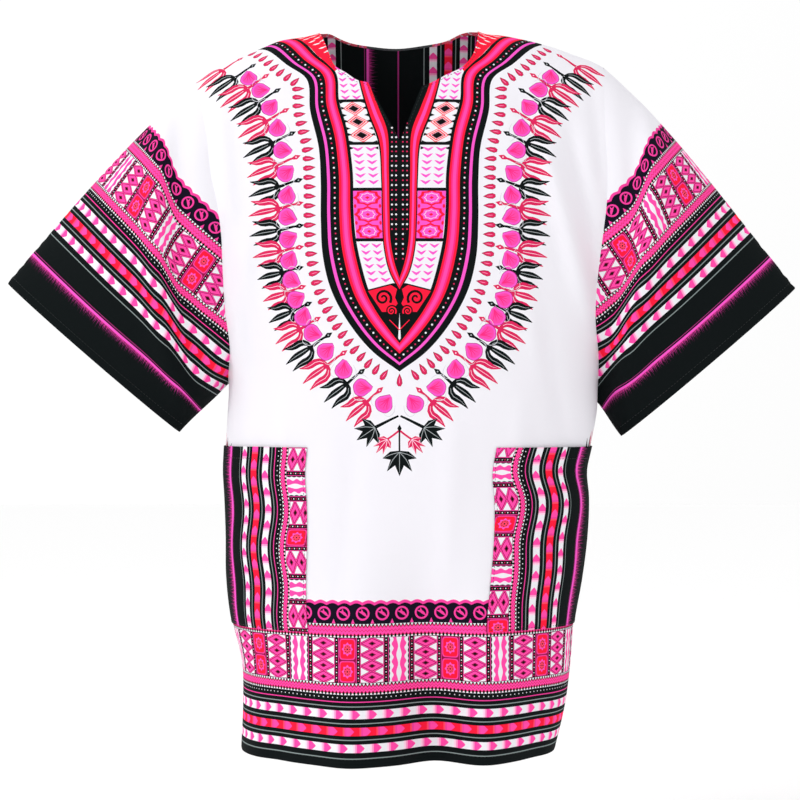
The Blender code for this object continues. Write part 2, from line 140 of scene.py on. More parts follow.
# Slanted folds and softer creases: start x, z, end x, z, half-width, depth outward
FRONT_CREASES = (
    (0.150, -0.150, 0.188, -0.285, 0.011, 0.0085),
    (0.176, -0.130, 0.204, -0.270, 0.010, -0.0075),
    (0.197, -0.060, 0.205, -0.150, 0.008, -0.0045),
    (-0.160, -0.250, -0.172, -0.335, 0.011, 0.006),
    (-0.186, -0.090, -0.176, -0.190, 0.009, 0.0050),
    (-0.168, -0.270, -0.150, -0.350, 0.010, -0.0040),
    (0.128, -0.100, 0.160, -0.225, 0.013, -0.0034),
    (0.112, -0.210, 0.138, -0.330, 0.012, 0.0030),
    (-0.150, -0.330, -0.140, -0.420, 0.011, -0.0034),
    (-0.120, -0.430, -0.108, -0.560, 0.012, 0.0028),
    (0.150, -0.330, 0.168, -0.430, 0.010, -0.0045),
    (0.120, -0.420, 0.112, -0.540, 0.013, 0.0032),
    (-0.050, -0.460, -0.058, -0.560, 0.014, -0.0020),
    (0.052, -0.440, 0.046, -0.560, 0.013, 0.0024),
)
BACK_CREASES = (
    (0.150, -0.120, 0.180, -0.300, 0.015, -0.008),
    (-0.145, -0.120, -0.165, -0.290, 0.015, -0.008),
    (0.060, -0.080, 0.110, -0.180, 0.016, 0.0024),
    (-0.060, -0.090, -0.104, -0.200, 0.017, 0.0022),
    (0.020, -0.200, 0.034, -0.360, 0.020, -0.0020),
    (-0.040, -0.230, -0.030, -0.350, 0.016, 0.0018),
    (0.130, -0.330, 0.122, -0.470, 0.013, 0.0024),
    (-0.140, -0.340, -0.128, -0.500, 0.014, 0.0022),
)
CUFF_LEFT = (-0.4146, -0.2656, -0.2332, -0.4228)
CUFF_RIGHT = (0.4157, -0.2708, 0.2321, -0.4270)
SLEEVE_FOLD_LEFT = ((-0.420, -0.208), (-0.340, -0.228), (-0.280, -0.234), (-0.200, -0.236), (-0.100, -0.232))
SLEEVE_FOLD_RIGHT = ((-0.420, 0.205), (-0.320, 0.224), (-0.260, 0.234), (-0.200, 0.243), (-0.100, 0.246))


class Side(Enum):
    """The viewer's left or right."""

    LEFT = -1.0
    RIGHT = 1.0


def track(table: Sequence[Sequence[float]] | Array, at: Array | float) -> Array:
    """Gives points of a smooth curve through the rows of a table.

    Args:
        table: Rows whose first column says where along the curve each lies.
        at: Where along it the points are wanted.

    Returns:
        The other columns at those places, in the last axis.
    """
    rows = np.asarray(table, float)
    knots, values = rows[:, 0], rows[:, 1:]
    steps = np.diff(knots)[:, None]
    slopes = np.diff(values, axis=0) / steps
    ends = (slopes[:-1] * steps[1:] + slopes[1:] * steps[:-1]) / (steps[:-1] + steps[1:])
    tangents = np.vstack((slopes[:1], ends, slopes[-1:]))
    at = np.clip(np.asarray(at, float), knots[0], knots[-1])
    span = np.clip(np.searchsorted(knots, at, side="right") - 1, 0, len(knots) - 2)
    width = (knots[span + 1] - knots[span])[..., None]
    t = (at - knots[span])[..., None] / width
    start = values[span] * (1 + 2 * t) * (1 - t) ** 2 + tangents[span] * width * t * (1 - t) ** 2
    end = values[span + 1] * t**2 * (3 - 2 * t) + tangents[span + 1] * width * t**2 * (t - 1)
    return start + end


def lengths_along(points: Array) -> Array:
    """Gives the distance from the first point to each, along the line through them."""
    steps = np.linalg.norm(np.diff(points, axis=0), axis=-1)
    return np.concatenate((np.zeros((1, *steps.shape[1:])), np.cumsum(steps, axis=0)))


def chorded(points: Sequence[Sequence[float]] | Array) -> Array:
    """Puts the share of the way along the points in front of them, as a table for track.

    Args:
        points: Points in order.

    Returns:
        Rows of a share and a point.
    """
    rows = np.asarray(points, float)
    along = lengths_along(rows)
    return np.column_stack((along / along[-1], rows))


def smooth_step(low: float, high: float, value: Array) -> Array:
    """Rises from 0 at low to 1 at high with no corner."""
    t = np.clip((value - low) / (high - low), 0.0, 1.0)
    return t * t * (3 - 2 * t)


def rounded(value: Array, power: float) -> Array:
    """Gives the height of a superellipse of size 1 at this distance from its middle."""
    return np.clip(1 - np.clip(np.abs(value), 0, 1) ** power, 0, 1) ** (1 / power)


def blended_rows(spot: Array, count: int, value: Callable[[int, Array], Array]) -> Array:
    """Blends what the two nearest rows of a table give at each spot.

    Args:
        spot: The row wanted at each place, which may lie between two rows.
        count: How many rows there are.
        value: Gives what one row says, from its number and the places that want it.

    Returns:
        The blended value at each place.
    """
    spot = np.clip(spot, 0, count - 1.001)
    low = spot.astype(int)
    part = spot - low
    values = np.zeros_like(spot)
    for row, weight in ((low, 1 - part), (low + 1, part)):
        for index in np.unique(row):
            here = row == index
            values[here] += weight[here] * value(index, here)
    return values


def linked(name: str, data: bpy.types.ID) -> bpy.types.Object:
    """Puts a new object in the scene.

    Args:
        name: The object's name.
        data: Its mesh, lamp or camera.

    Returns:
        The object.
    """
    obj = bpy.data.objects.new(name, data)
    bpy.context.scene.collection.objects.link(obj)
    return obj


class ArcTable:
    """Lengths along a superellipse from its middle, for each ratio of its depth to its half-width."""

    STEPS = 1200
    RATIOS = 26

    def __init__(self, power: float, low: float, high: float) -> None:
        """Measures the curves.

        Args:
            power: How square the superellipse is.
            low: The least ratio.
            high: The greatest ratio.
        """
        self.ratios = np.linspace(low, high, self.RATIOS)
        self.places = np.sin(np.linspace(0.0, math.pi / 2, self.STEPS))
        heights = rounded(self.places, power)
        self.lengths = np.array(
            [lengths_along(np.column_stack((self.places, ratio * heights))) for ratio in self.ratios]
        )

    def _blended(self, rows: Array, ratio: Array) -> Array:
        """Blends the two rows nearest each ratio.

        Args:
            rows: A value at each place for each ratio.
            ratio: The ratio wanted at each place.

        Returns:
            The value at each place.
        """
        step = self.ratios[1] - self.ratios[0]
        spot = np.clip((ratio - self.ratios[0]) / step, 0, self.RATIOS - 1.001)
        low = spot.astype(int)
        share = spot - low
        column = np.arange(rows.shape[1])
        return rows[low, column] * (1 - share) + rows[low + 1, column] * share

    def length(self, place: Array, ratio: Array) -> Array:
        """Gives the length from the middle out to each place, negative on the left.

        Args:
            place: Places from -1 to 1.
            ratio: The ratio at each.

        Returns:
            Lengths for a half-width of 1.
        """
        place, ratio = (item.ravel() for item in np.broadcast_arrays(place, ratio))
        rows = np.array([np.interp(np.abs(place), self.places, row) for row in self.lengths])
        return np.sign(place) * self._blended(rows, ratio)

    def place(self, length: Array, ratio: Array) -> Array:
        """Gives the place that lies this length from the middle.

        Args:
            length: Lengths for a half-width of 1.
            ratio: The ratio at each.

        Returns:
            Places from -1 to 1.
        """
        length, ratio = (item.ravel() for item in np.broadcast_arrays(length, ratio))
        rows = np.array([np.interp(np.abs(length), row, self.places) for row in self.lengths])
        return np.sign(length) * self._blended(rows, ratio)


@dataclass
class PanelForm:
    """The worn form of the front or the back, and how its flat cut lies on it.

    The flat cut's a runs to the viewer's right from the middle, and b runs up, both along the cloth.
    """

    front: bool
    hem_z: float = -0.753
    chest_power: float = 2.3
    shoulder_power: float = 2.2
    shoulder_z: float = -0.33
    yoke_z: float = -0.15
    underarm_left_z: float = -0.371
    underarm_right_z: float = -0.391
    edge_step: float = 0.004
    hem_points: int = 120
    shoulder_points: int = 34
    lap: float = 0.0006
    rounds: int = 6
    across: ArcTable = field(init=False)
    up: ArcTable = field(init=False)

    def __post_init__(self) -> None:
        """Measures the form's curves."""
        self.across = ArcTable(self.chest_power, 0.30, 0.85)
        self.up = ArcTable(self.shoulder_power, 0.0, 0.55)

    def sides(self, z: Array) -> tuple[Array, Array, Array, Array]:
        """Gives the middle, the half-width, the seam's depth and the panel's depth at each level."""
        left, right, seam, front, back = np.moveaxis(track(SIDES, z), -1, 0)
        return (left + right) / 2, (right - left) / 2, seam, front if self.front else back

    def fold_depth(self, x: Array, z: Array) -> Array:
        """Gives how far the folds and creases bring the cloth outward.

        Args:
            x: Each place's x.
            z: Each place's z.

        Returns:
            Depths in metres.
        """
        depth = np.zeros(np.broadcast(x, z).shape)
        for hem_x, top_x, width, height, top_z in FRONT_FOLDS if self.front else BACK_FOLDS:
            share = np.clip((z - self.hem_z) / (top_z - self.hem_z), 0.0, 1.0)
            centre = hem_x + (top_x - hem_x) * share
            spread = width * (1 + 0.5 * share)
            strength = 1 - smooth_step(0.0, 1.0, share)
            depth += height * strength * np.exp(-(((x - centre) / spread) ** 2))
        for start_x, start_z, end_x, end_z, width, height in FRONT_CREASES if self.front else BACK_CREASES:
            length = math.hypot(end_x - start_x, end_z - start_z)
            run_x, run_z = (end_x - start_x) / length, (end_z - start_z) / length
            along = (x - start_x) * run_x + (z - start_z) * run_z
            aside = (x - start_x) * run_z - (z - start_z) * run_x
            beyond = np.maximum(np.maximum(-along, along - length), 0.0)
            depth += height * np.exp(-((aside / width) ** 2) - (beyond / (2.5 * width)) ** 2)
        return depth

    def ridge_z(self, x: Array) -> Array:
        """Gives the level of the shoulder line."""
        return track(RIDGE, x)[..., 0]

    def depth(self, x: Array, z: Array) -> Array:
        """Gives the cloth's y at each x and z.

        Args:
            x: Each place's x.
            z: Each place's z.

        Returns:
            Each y in metres.
        """
        middle, half, seam, deep = self.sides(z)
        rise = np.maximum(z - self.shoulder_z, 0.0) / np.maximum(self.ridge_z(x) - self.shoulder_z, 1e-6)
        shape = rounded((x - middle) / half, self.chest_power) * rounded(rise, self.shoulder_power)
        way = -1.0 if self.front else 1.0
        return seam + way * ((deep + self.fold_depth(x, z)) * shape - self.lap)

    def _yoke(self, x: Array) -> tuple[Array, Array]:
        """Gives the rise from the chest to the shoulder line, and the depth over that rise.

        Args:
            x: Each place's x.

        Returns:
            The two, at each x.
        """
        middle, half, _, deep = self.sides(np.full(np.shape(x), self.yoke_z))
        rise = np.maximum(self.ridge_z(x) - self.shoulder_z, 0.02)
        return rise, deep * rounded((x - middle) / half, self.chest_power) / rise

    def flat(self, x: Array, z: Array) -> Array:
        """Gives where places on the worn form lie in the flat cut.

        Args:
            x: Each place's x.
            z: Each place's z.

        Returns:
            Each place's a and b.
        """
        x, z = np.asarray(x, float), np.asarray(z, float)
        middle, half, _, deep = self.sides(z)
        ratio = deep / half
        start = self.across.length(-middle / half, ratio)
        a = half * (self.across.length((x - middle) / half, ratio) - start)
        rise, steep = self._yoke(x)
        share = (z - self.shoulder_z) / rise
        lifted = self.shoulder_z + rise * self.up.length(np.clip(share, 0.0, 1.0), steep)
        return np.column_stack((a, np.where(z > self.shoulder_z, lifted, z)))

    def place(self, flat: Array) -> tuple[Array, Array]:
        """Gives the x and z where points of the flat cut lie on the worn form.

        Args:
            flat: Each point's a and b.

        Returns:
            Each x and each z.
        """
        a, b = flat[:, 0], flat[:, 1]
        z = np.clip(b, self.hem_z - 0.01, self.yoke_z)
        x = a
        for _ in range(self.rounds):
            middle, half, _, deep = self.sides(z)
            ratio = deep / half
            x = middle + half * self.across.place(a / half + self.across.length(-middle / half, ratio), ratio)
            rise, steep = self._yoke(x)
            share = self.up.place(np.maximum(b - self.shoulder_z, 0.0) / rise, steep)
            z = np.where(b > self.shoulder_z, self.shoulder_z + rise * np.clip(share, 0.0, 1.0), b)
        return x, z

    def surface(self, flat: Array) -> Array:
        """Gives the cloth's outer face at points of the flat cut."""
        x, z = self.place(flat)
        return np.column_stack((x, self.depth(x, z), z))

    def outward(self, flat: Array) -> Array:
        """Gives the outward normals at points of the flat cut."""
        return normals_on(self.surface, flat, 1.0 if self.front else -1.0)

    def side_places(self, side: Side, low: float, high: float) -> Array:
        """Gives x and z up one side seam, from one level to another.

        Args:
            side: The side.
            low: The first level.
            high: The last level.

        Returns:
            Places from low to high.
        """
        z = np.linspace(low, high, max(2, int(abs(high - low) / self.edge_step)))
        left, right = np.moveaxis(track(SIDES, z), -1, 0)[:2]
        return np.column_stack((left if side is Side.LEFT else right, z))

    def top_places(self) -> Array:
        """Gives x and z along the shoulder and neck edge, from the viewer's left to right.

        Returns:
            Each place's x and z.
        """
        left = np.linspace(ARMHOLE_FRONT_LEFT[-1][0], NECK_FRONT_LEFT[0][0], self.shoulder_points)
        right = np.linspace(NECK_FRONT_RIGHT[0][0], ARMHOLE_FRONT_RIGHT[-1][0], self.shoulder_points)
        shoulders = [np.column_stack((x, self.ridge_z(x))) for x in (left, right)]
        share = np.linspace(0.0, 1.0, 40)
        if not self.front:
            return np.vstack((shoulders[0], track(chorded(NECK_BACK), share)[1:-1], shoulders[1]))
        slit = np.linspace(0.0, 1.0, 22)[1:, None]
        inner = []
        for table in (NECK_FRONT_LEFT, NECK_FRONT_RIGHT):
            edge = track(chorded(table), share)
            inner.append(np.vstack((edge, edge[-1] * (1 - slit) + np.asarray(SLIT_BOTTOM) * slit)))
        return np.vstack((shoulders[0], inner[0][1:], inner[1][-2:0:-1], shoulders[1]))

    def armhole(self, side: Side, share: Array) -> Array:
        """Gives x and z along an armhole, from the underarm to the shoulder.

        Args:
            side: The side.
            share: Shares of the way up, as seen from the front.

        Returns:
            Each place's x and z.
        """
        if side is Side.LEFT:
            table = ARMHOLE_FRONT_LEFT if self.front else ARMHOLE_BACK_LEFT
        else:
            table = ARMHOLE_FRONT_RIGHT if self.front else ARMHOLE_BACK_RIGHT
        return track(chorded(table), share)

    def outline(self) -> Array:
        """Gives the flat cut's edge, anticlockwise from the hem's left end.

        Returns:
            The corners' a and b.
        """
        hem_x = np.linspace(*track(SIDES, self.hem_z)[:2], self.hem_points)
        share = np.linspace(0.0, 1.0, 80)
        edge = (
            np.column_stack((hem_x, np.full_like(hem_x, self.hem_z)))[:-1],
            self.side_places(Side.RIGHT, self.hem_z, self.underarm_right_z)[:-1],
            self.armhole(Side.RIGHT, share)[:-1],
            self.top_places()[::-1],
            self.armhole(Side.LEFT, share[::-1])[1:-1],
            self.side_places(Side.LEFT, self.underarm_left_z, self.hem_z)[:-1],
        )
        places = np.vstack(edge)
        return self.flat(places[:, 0], places[:, 1])


def normals_on(surface: Layout, flat: Array, sign: float, step: float = 0.0004) -> Array:
    """Gives unit normals of a surface, from points a step to each side.

    Args:
        surface: Gives the surface at points of a flat cut.
        flat: Each point's a and b.
        sign: 1 or -1, for the side that it faces.
        step: How far the points lie to each side.

    Returns:
        A normal for each point.
    """
    right, up = np.array((step, 0.0)), np.array((0.0, step))
    across = surface(flat + right) - surface(flat - right)
    rising = surface(flat + up) - surface(flat - up)
    normals = sign * np.cross(across, rising)
    return normals / np.maximum(np.linalg.norm(normals, axis=-1, keepdims=True), 1e-12)


class ArmholeSeam:
    """One half of an armhole seam, from the underarm to the shoulder, measured along the cloth."""

    def __init__(self, form: PanelForm, side: Side) -> None:
        """Measures the seam.

        Args:
            form: The panel that it edges.
            side: The side.
        """
        self.form = form
        self.side = side
        self.places = np.linspace(0.0, 1.0, 400) ** 2
        along = lengths_along(self._raw(self.places))
        self.shares = along / along[-1]

    def _raw(self, place: Array) -> Array:
        """Gives points by the share of the seam as seen from the front."""
        x, z = np.moveaxis(self.form.armhole(self.side, place), -1, 0)
        return np.stack((x, self.form.depth(x, z), z), axis=-1)

    def at(self, share: Array) -> Array:
        """Gives points by the share of the seam's length."""
        return self._raw(np.interp(share, self.shares, self.places))


@dataclass
class SleeveForm:
    """The worn form of a sleeve, and how its flat cut lies on it.

    The flat cut's a runs round the sleeve from its top, positive to the front. Its b runs up from the cuff.
    """

    side: Side
    front: PanelForm
    back: PanelForm
    cuff_y: float = -0.004
    bow: float = 0.036
    bow_power: float = 0.6
    top_slope: float = 40.0
    bulge: float = 0.020
    fold_width: float = 0.017
    fold_depth: float = 0.010
    armhole_spacing: float = 1.25
    slip: float = 0.012
    turns: int = 321
    levels: int = 121

    def __post_init__(self) -> None:
        """Measures the sleeve along and around."""
        self.seams = (ArmholeSeam(self.front, self.side), ArmholeSeam(self.back, self.side))
        self.turn = np.linspace(-0.5, 0.5, self.turns)
        self.share = np.linspace(0.0, 1.0, self.levels)
        turn, share = np.meshgrid(self.turn, self.share, indexing="ij")
        points = self.point(turn.ravel(), share.ravel()).reshape(*turn.shape, 3)
        down = points[:, ::-1]
        length = np.swapaxes(lengths_along(np.swapaxes(down, 0, 1)), 0, 1)
        self.climb = length + self.slip * self._slipped(down)
        self.climb -= self.climb[:, :1]
        self.full = self.climb[:, -1]
        self.rise = np.linspace(0.0, self.full.max() * 1.001, 161)
        steps = []
        for level in self.rise:
            ring = self.point(self.turn, self._share_at(self.turn, np.full(self.turns, level)))
            along = lengths_along(ring)
            steps.append(along - along[self.turns // 2])
        self.round = np.array(steps)

    @property
    def cuff(self) -> tuple[float, float, float, float]:
        """The cuff's upper and lower corners: x, z, x, z."""
        return CUFF_LEFT if self.side is Side.LEFT else CUFF_RIGHT

    def _fold_line(self, z: Array) -> Array:
        """Gives the x of the upright fold."""
        table = SLEEVE_FOLD_LEFT if self.side is Side.LEFT else SLEEVE_FOLD_RIGHT
        return track(table, z)[..., 0]

    def _slipped(self, points: Array) -> Array:
        """Gives, from 0 outside the upright fold to 1 inside it, how far the cloth has slipped down."""
        outward = (points[..., 0] - self._fold_line(points[..., 2])) * self.side.value
        return 1 - smooth_step(-0.010, 0.012, outward)

    def point(self, turn: Array, share: Array) -> Array:
        """Gives the cloth's outer face.

        Args:
            turn: The share of a turn from the top, from -0.5 at the back to 0.5 at the front.
            share: The share of the way from the armhole to the cuff.

        Returns:
            Points in metres.
        """
        turn, s = np.asarray(turn, float), np.asarray(share, float)[:, None]
        on_front = turn >= 0
        across = 2 * np.abs(turn)
        seam = 1 - across**self.armhole_spacing
        start = np.where(on_front[:, None], self.seams[0].at(seam), self.seams[1].at(seam))
        cuff = self.cuff
        upper, lower = np.array((cuff[0], 0.0, cuff[1])), np.array((cuff[2], 0.0, cuff[3]))
        bow = self.bow * (1 - (2 * across - 1) ** 2) ** self.bow_power
        end = upper + (lower - upper) * across[:, None]
        end[:, 1] = self.cuff_y + np.where(on_front, -bow, bow)
        way = self.side.value
        slope = math.radians(self.top_slope)
        axis = np.cross(lower - upper, (0.0, 1.0, 0.0))
        axis = axis / np.linalg.norm(axis) * (way if axis[0] > 0 else -way)
        top_way = np.array((way * math.cos(slope), 0.0, -math.sin(slope)))
        leave = top_way * (1 - across[:, None]) + axis * across[:, None]
        side = np.where(on_front, -1.0, 1.0) * np.sin(math.pi * across)
        leave[:, 1] += side * 0.10
        length = np.linalg.norm(end - start, axis=-1, keepdims=True)
        points = (
            start * (1 + 2 * s) * (1 - s) ** 2
            + leave * length * s * (1 - s) ** 2
            + end * s**2 * (3 - 2 * s)
            + axis * length * s**2 * (s - 1)
        )
        s = s[:, 0]
        points[:, 1] += self.bulge * 4 * s * (1 - s) * side * (length[:, 0] / self._longest())
        outward = (points[:, 0] - self._fold_line(points[:, 2])) * way / self.fold_width
        wave = np.exp(-((outward - 0.7) ** 2)) - 0.9 * np.exp(-((outward + 0.6) ** 2))
        fade = smooth_step(0.0, 0.25, s) * (1 - smooth_step(0.62, 0.95, s))
        strength = np.where(on_front, 1.0, -0.7) * np.sin(math.pi * across) ** 0.5
        points[:, 1] -= self.fold_depth * wave * fade * strength
        return points

    def _longest(self) -> float:
        """Gives the greatest straight distance from the armhole to the cuff, at the sleeve's top."""
        start = self.seams[0].at(np.array((1.0,)))[0]
        return float(np.linalg.norm(np.array((self.cuff[0], self.cuff_y, self.cuff[1])) - start))

    def _share_at(self, turn: Array, rise: Array) -> Array:
        """Gives the share of the way from the armhole where the cloth has climbed this far from the cuff.

        Args:
            turn: Shares of a turn from the top.
            rise: Lengths up from the cuff.

        Returns:
            The share at each.
        """

        def climbed(index: int, here: Array) -> Array:
            """Reads one line of the sleeve."""
            return np.interp(wanted[here], self.climb[index] / self.full[index], self.share)

        spot = (turn + 0.5) * (self.turns - 1)
        wanted = np.clip(rise / blended_rows(spot, self.turns, lambda index, _: self.full[index]), 0.0, 1.0)
        return 1 - blended_rows(spot, self.turns, climbed)

    def flat(self, turn: Array, share: Array) -> Array:
        """Gives where places on the sleeve lie in the flat cut.

        Args:
            turn: Shares of a turn from the top.
            share: Shares of the way from the armhole to the cuff.

        Returns:
            Each place's a and b.
        """

        def risen(index: int, here: Array) -> Array:
            """Reads the length up one line of the sleeve."""
            return np.interp(1 - share[here], self.share, self.climb[index])

        def around(index: int, here: Array) -> Array:
            """Reads the length round one ring of the sleeve."""
            return np.interp(turn[here], self.turn, self.round[index])

        b = blended_rows((turn + 0.5) * (self.turns - 1), self.turns, risen)
        return np.column_stack((blended_rows(b / self.rise[1], len(self.rise), around), b))

    def surface(self, flat: Array) -> Array:
        """Gives the cloth's outer face at points of the flat cut.

        Args:
            flat: Each point's a and b.

        Returns:
            Points in metres.
        """

        def turned(index: int, here: Array) -> Array:
            """Reads the share of a turn on one ring of the sleeve."""
            return np.interp(flat[here, 0], self.round[index], self.turn)

        turn = blended_rows(flat[:, 1] / self.rise[1], len(self.rise), turned)
        return self.point(turn, self._share_at(turn, flat[:, 1]))

    def outward(self, flat: Array) -> Array:
        """Gives the outward normals at points of the flat cut."""
        return normals_on(self.surface, flat, self.side.value * -1.0)

    def outline(self) -> Array:
        """Gives the flat cut's edge: the cuff, one edge of the underarm seam, the armhole and the other.

        Returns:
            The corners' a and b.
        """
        turn = np.linspace(-0.5, 0.5, 130)
        share = np.linspace(1.0, 0.0, 26)
        edge = (
            np.column_stack((turn, np.ones_like(turn)))[:-1],
            np.column_stack((np.full_like(share, 0.5), share))[:-1],
            np.column_stack((turn[::-1], np.zeros_like(turn)))[:-1],
            np.column_stack((np.full_like(share, -0.5), share[::-1]))[:-1],
        )
        places = np.vstack(edge)
        return self.flat(places[:, 0], places[:, 1])


class Ink(Enum):
    """The print's colours, as sRGB hex."""

    CLOTH = "EBE9EF"
    BLACK = "0B1112"
    NIGHT = "130D1E"
    PINK = "FF4AA6"
    ROSE = "F0409A"
    ORCHID = "F556C6"
    BLUSH = "FF9CCB"
    PALE = "FFD3E8"
    RED = "FB1B3C"
    CORAL = "FF4764"
    CRIMSON = "D8265A"
    HOT = "FF2E80"
    WINE = "8E1440"
    GREY = "879392"
    MIST = "CFCFD6"
    ASH = "A9AFB2"
    FRINGE = "A8327C"
    DUSK = "5A1C46"


@dataclass(frozen=True)
class Placing:
    """Where a motif stands on the flat cut: its origin and the way its y axis points.

    Attributes:
        a: The origin's a, in millimetres.
        b: The origin's b, in millimetres.
        heading: The way that the motif's y axis points, in radians from the cut's a axis.
    """

    a: float
    b: float
    heading: float = math.pi / 2

    def __call__(self, points: Array) -> Array:
        """Gives the motif's points on the flat cut.

        Args:
            points: Points of the motif.

        Returns:
            Points of the cut.
        """
        x, y = points[:, 0], points[:, 1]
        sine, cosine = math.sin(self.heading), math.cos(self.heading)
        return np.column_stack((self.a + x * sine + y * cosine, self.b - x * cosine + y * sine))


def as_drawn(points: Array) -> Array:
    """Leaves a motif's points where they are."""
    return points


class Drawing:
    """Filled outlines on a flat cut, in millimetres, where later ones lie over earlier ones."""

    LONGEST_EDGE = 6.0

    def __init__(self) -> None:
        """Starts with a bare cut."""
        self.outlines: list[Array] = []
        self.inks: list[Ink] = []

    def fill(self, points: Iterable[Sequence[float]] | Array, ink: Ink, layout: Layout = as_drawn) -> None:
        """Fills an outline.

        Args:
            points: The outline's corners.
            ink: Its colour.
            layout: Where each corner falls on the cut.
        """
        corners = np.asarray(points if isinstance(points, np.ndarray) else list(points), float)
        closed = np.vstack((corners, corners[:1]))
        pieces = []
        for start, end in zip(closed[:-1], closed[1:]):
            count = max(1, int(math.ceil(float(np.linalg.norm(end - start)) / self.LONGEST_EDGE)))
            pieces.append(start + (end - start) * (np.arange(count) / count)[:, None])
        self.outlines.append(layout(np.vstack(pieces)))
        self.inks.append(ink)

    def inks_at(self, points: Array) -> list[Ink]:
        """Gives the ink of the last outline that holds each point, or bare cloth.

        Args:
            points: Points of the cut.

        Returns:
            An ink for each.
        """
        order = np.argsort(points[:, 0])
        across = points[order, 0]
        owners = np.full(len(points), -1)
        for number, loop in enumerate(self.outlines):
            low, high = loop.min(axis=0), loop.max(axis=0)
            near = order[np.searchsorted(across, low[0]) : np.searchsorted(across, high[0])]
            near = near[(points[near, 1] > low[1]) & (points[near, 1] < high[1])]
            owners[near[winds_round(loop, points[near])]] = number
        return [Ink.CLOTH if owner < 0 else self.inks[owner] for owner in owners]


@dataclass(frozen=True)
class Pen:
    """Fills shapes on a cut's drawing, through a layout that says where each of their points falls."""

    drawing: Drawing
    layout: Layout = as_drawn

    def at(self, place: Layout) -> Pen:
        """Gives a pen for a motif that stands at a place in this pen's layout."""
        return Pen(self.drawing, lambda points: self.layout(place(points)))

    def fill(self, points: Iterable[Sequence[float]] | Array, ink: Ink) -> None:
        """Fills an outline."""
        self.drawing.fill(points, ink, self.layout)

    def strip(self, left: float, right: float, low: float, high: float, ink: Ink) -> None:
        """Fills a strip between two levels."""
        self.fill(((left, low), (right, low), (right, high), (left, high)), ink)

    def disc(self, x: float, y: float, radius: float, ink: Ink, corners: int = 5) -> None:
        """Fills a small disc."""
        self.fill(ellipse(x, y, radius, radius, corners), ink)

    def stroke(self, path: Array, widths: Array | float, ink: Ink) -> None:
        """Fills a line of the given width or widths along a path."""
        self.fill(stroked(path, widths), ink)


def winds_round(loop: Array, points: Array) -> Array:
    """Tells whether an outline winds round each point.

    Args:
        loop: The outline's corners.
        points: The points.

    Returns:
        True or false for each.
    """
    turns = np.zeros(len(points), int)
    if not len(points):
        return turns != 0
    x, y = points[:, 0], points[:, 1]
    for (x0, y0), (x1, y1) in zip(loop, np.roll(loop, -1, axis=0)):
        side = (x1 - x0) * (y - y0) - (x - x0) * (y1 - y0)
        turns += (y0 <= y) & (y < y1) & (side > 0)
        turns -= (y1 <= y) & (y < y0) & (side < 0)
    return turns != 0


def ellipse(x: float, y: float, across: float, up: float, corners: int = 12) -> Array:
    """Gives the corners of an ellipse of these half-widths."""
    return (x, y) + circle(corners) * (across, up)


def circle(corners: int) -> Array:
    """Gives the corners of a circle of radius 1."""
    angle = np.arange(corners) * 2 * math.pi / corners
    return np.column_stack((np.cos(angle), np.sin(angle)))


def lobed(x: float, y: float, across: float, up: float, depth: float) -> Array:
    """Gives the outline of a blossom of eight lobes, with these half-widths and this depth of lobe."""
    lobes = 1 + depth * np.cos(np.arange(16) * math.pi)[:, None]
    return (x, y) + circle(16) * lobes * (across, up)


def rhomb(x: float, y: float, across: float, up: float) -> Array:
    """Gives the corners of a diamond of these half-widths."""
    return np.array(((x - across, y), (x, y - up), (x + across, y), (x, y + up)))


def smooth_path(points: Sequence[Sequence[float]], count: int) -> Array:
    """Gives evenly shared points on a smooth curve through these."""
    return track(chorded(points), np.linspace(0.0, 1.0, count))


def stroked(path: Array, widths: Array | float) -> Array:
    """Gives the outline of a line of the given width or widths along a path.

    Args:
        path: Points along the line.
        widths: Its width, or one for each point.

    Returns:
        The outline's corners.
    """
    way = np.gradient(path, axis=0)
    way = way / np.maximum(np.linalg.norm(way, axis=1, keepdims=True), 1e-9)
    half = np.broadcast_to(np.asarray(widths, float) / 2, len(path))[:, None]
    aside = np.column_stack((-way[:, 1], way[:, 0])) * half
    return np.vstack((path + aside, (path - aside)[::-1]))


def beside(path: Array, distance: float) -> Array:
    """Gives a path moved to its left by a distance.

    Args:
        path: The path's points.
        distance: How far it is moved.

    Returns:
        The moved points.
    """
    way = np.gradient(path, axis=0)
    way = way / np.maximum(np.linalg.norm(way, axis=1, keepdims=True), 1e-9)
    return path + np.column_stack((-way[:, 1], way[:, 0])) * distance


def tapered(count: int, start: float, middle: float, end: float) -> Array:
    """Gives widths that swell from the start to the middle and fall to the end."""
    return track(((0.0, start), (0.55, middle), (1.0, end)), np.linspace(0.0, 1.0, count))[:, 0]


def teardrop(length: float, width: float, corners: int = 9) -> Array:
    """Gives a drop from its point at the origin to its round end up the y axis.

    Args:
        length: Its length.
        width: Its width.
        corners: How many corners it has.

    Returns:
        The corners.
    """
    angle = np.linspace(0.0, 2 * math.pi, corners, endpoint=False)
    y = length * (1 - np.cos(angle)) / 2
    x = 0.65 * width * np.sin(angle) * np.abs(np.sin(angle / 2)) ** 1.1
    return np.column_stack((x, y))


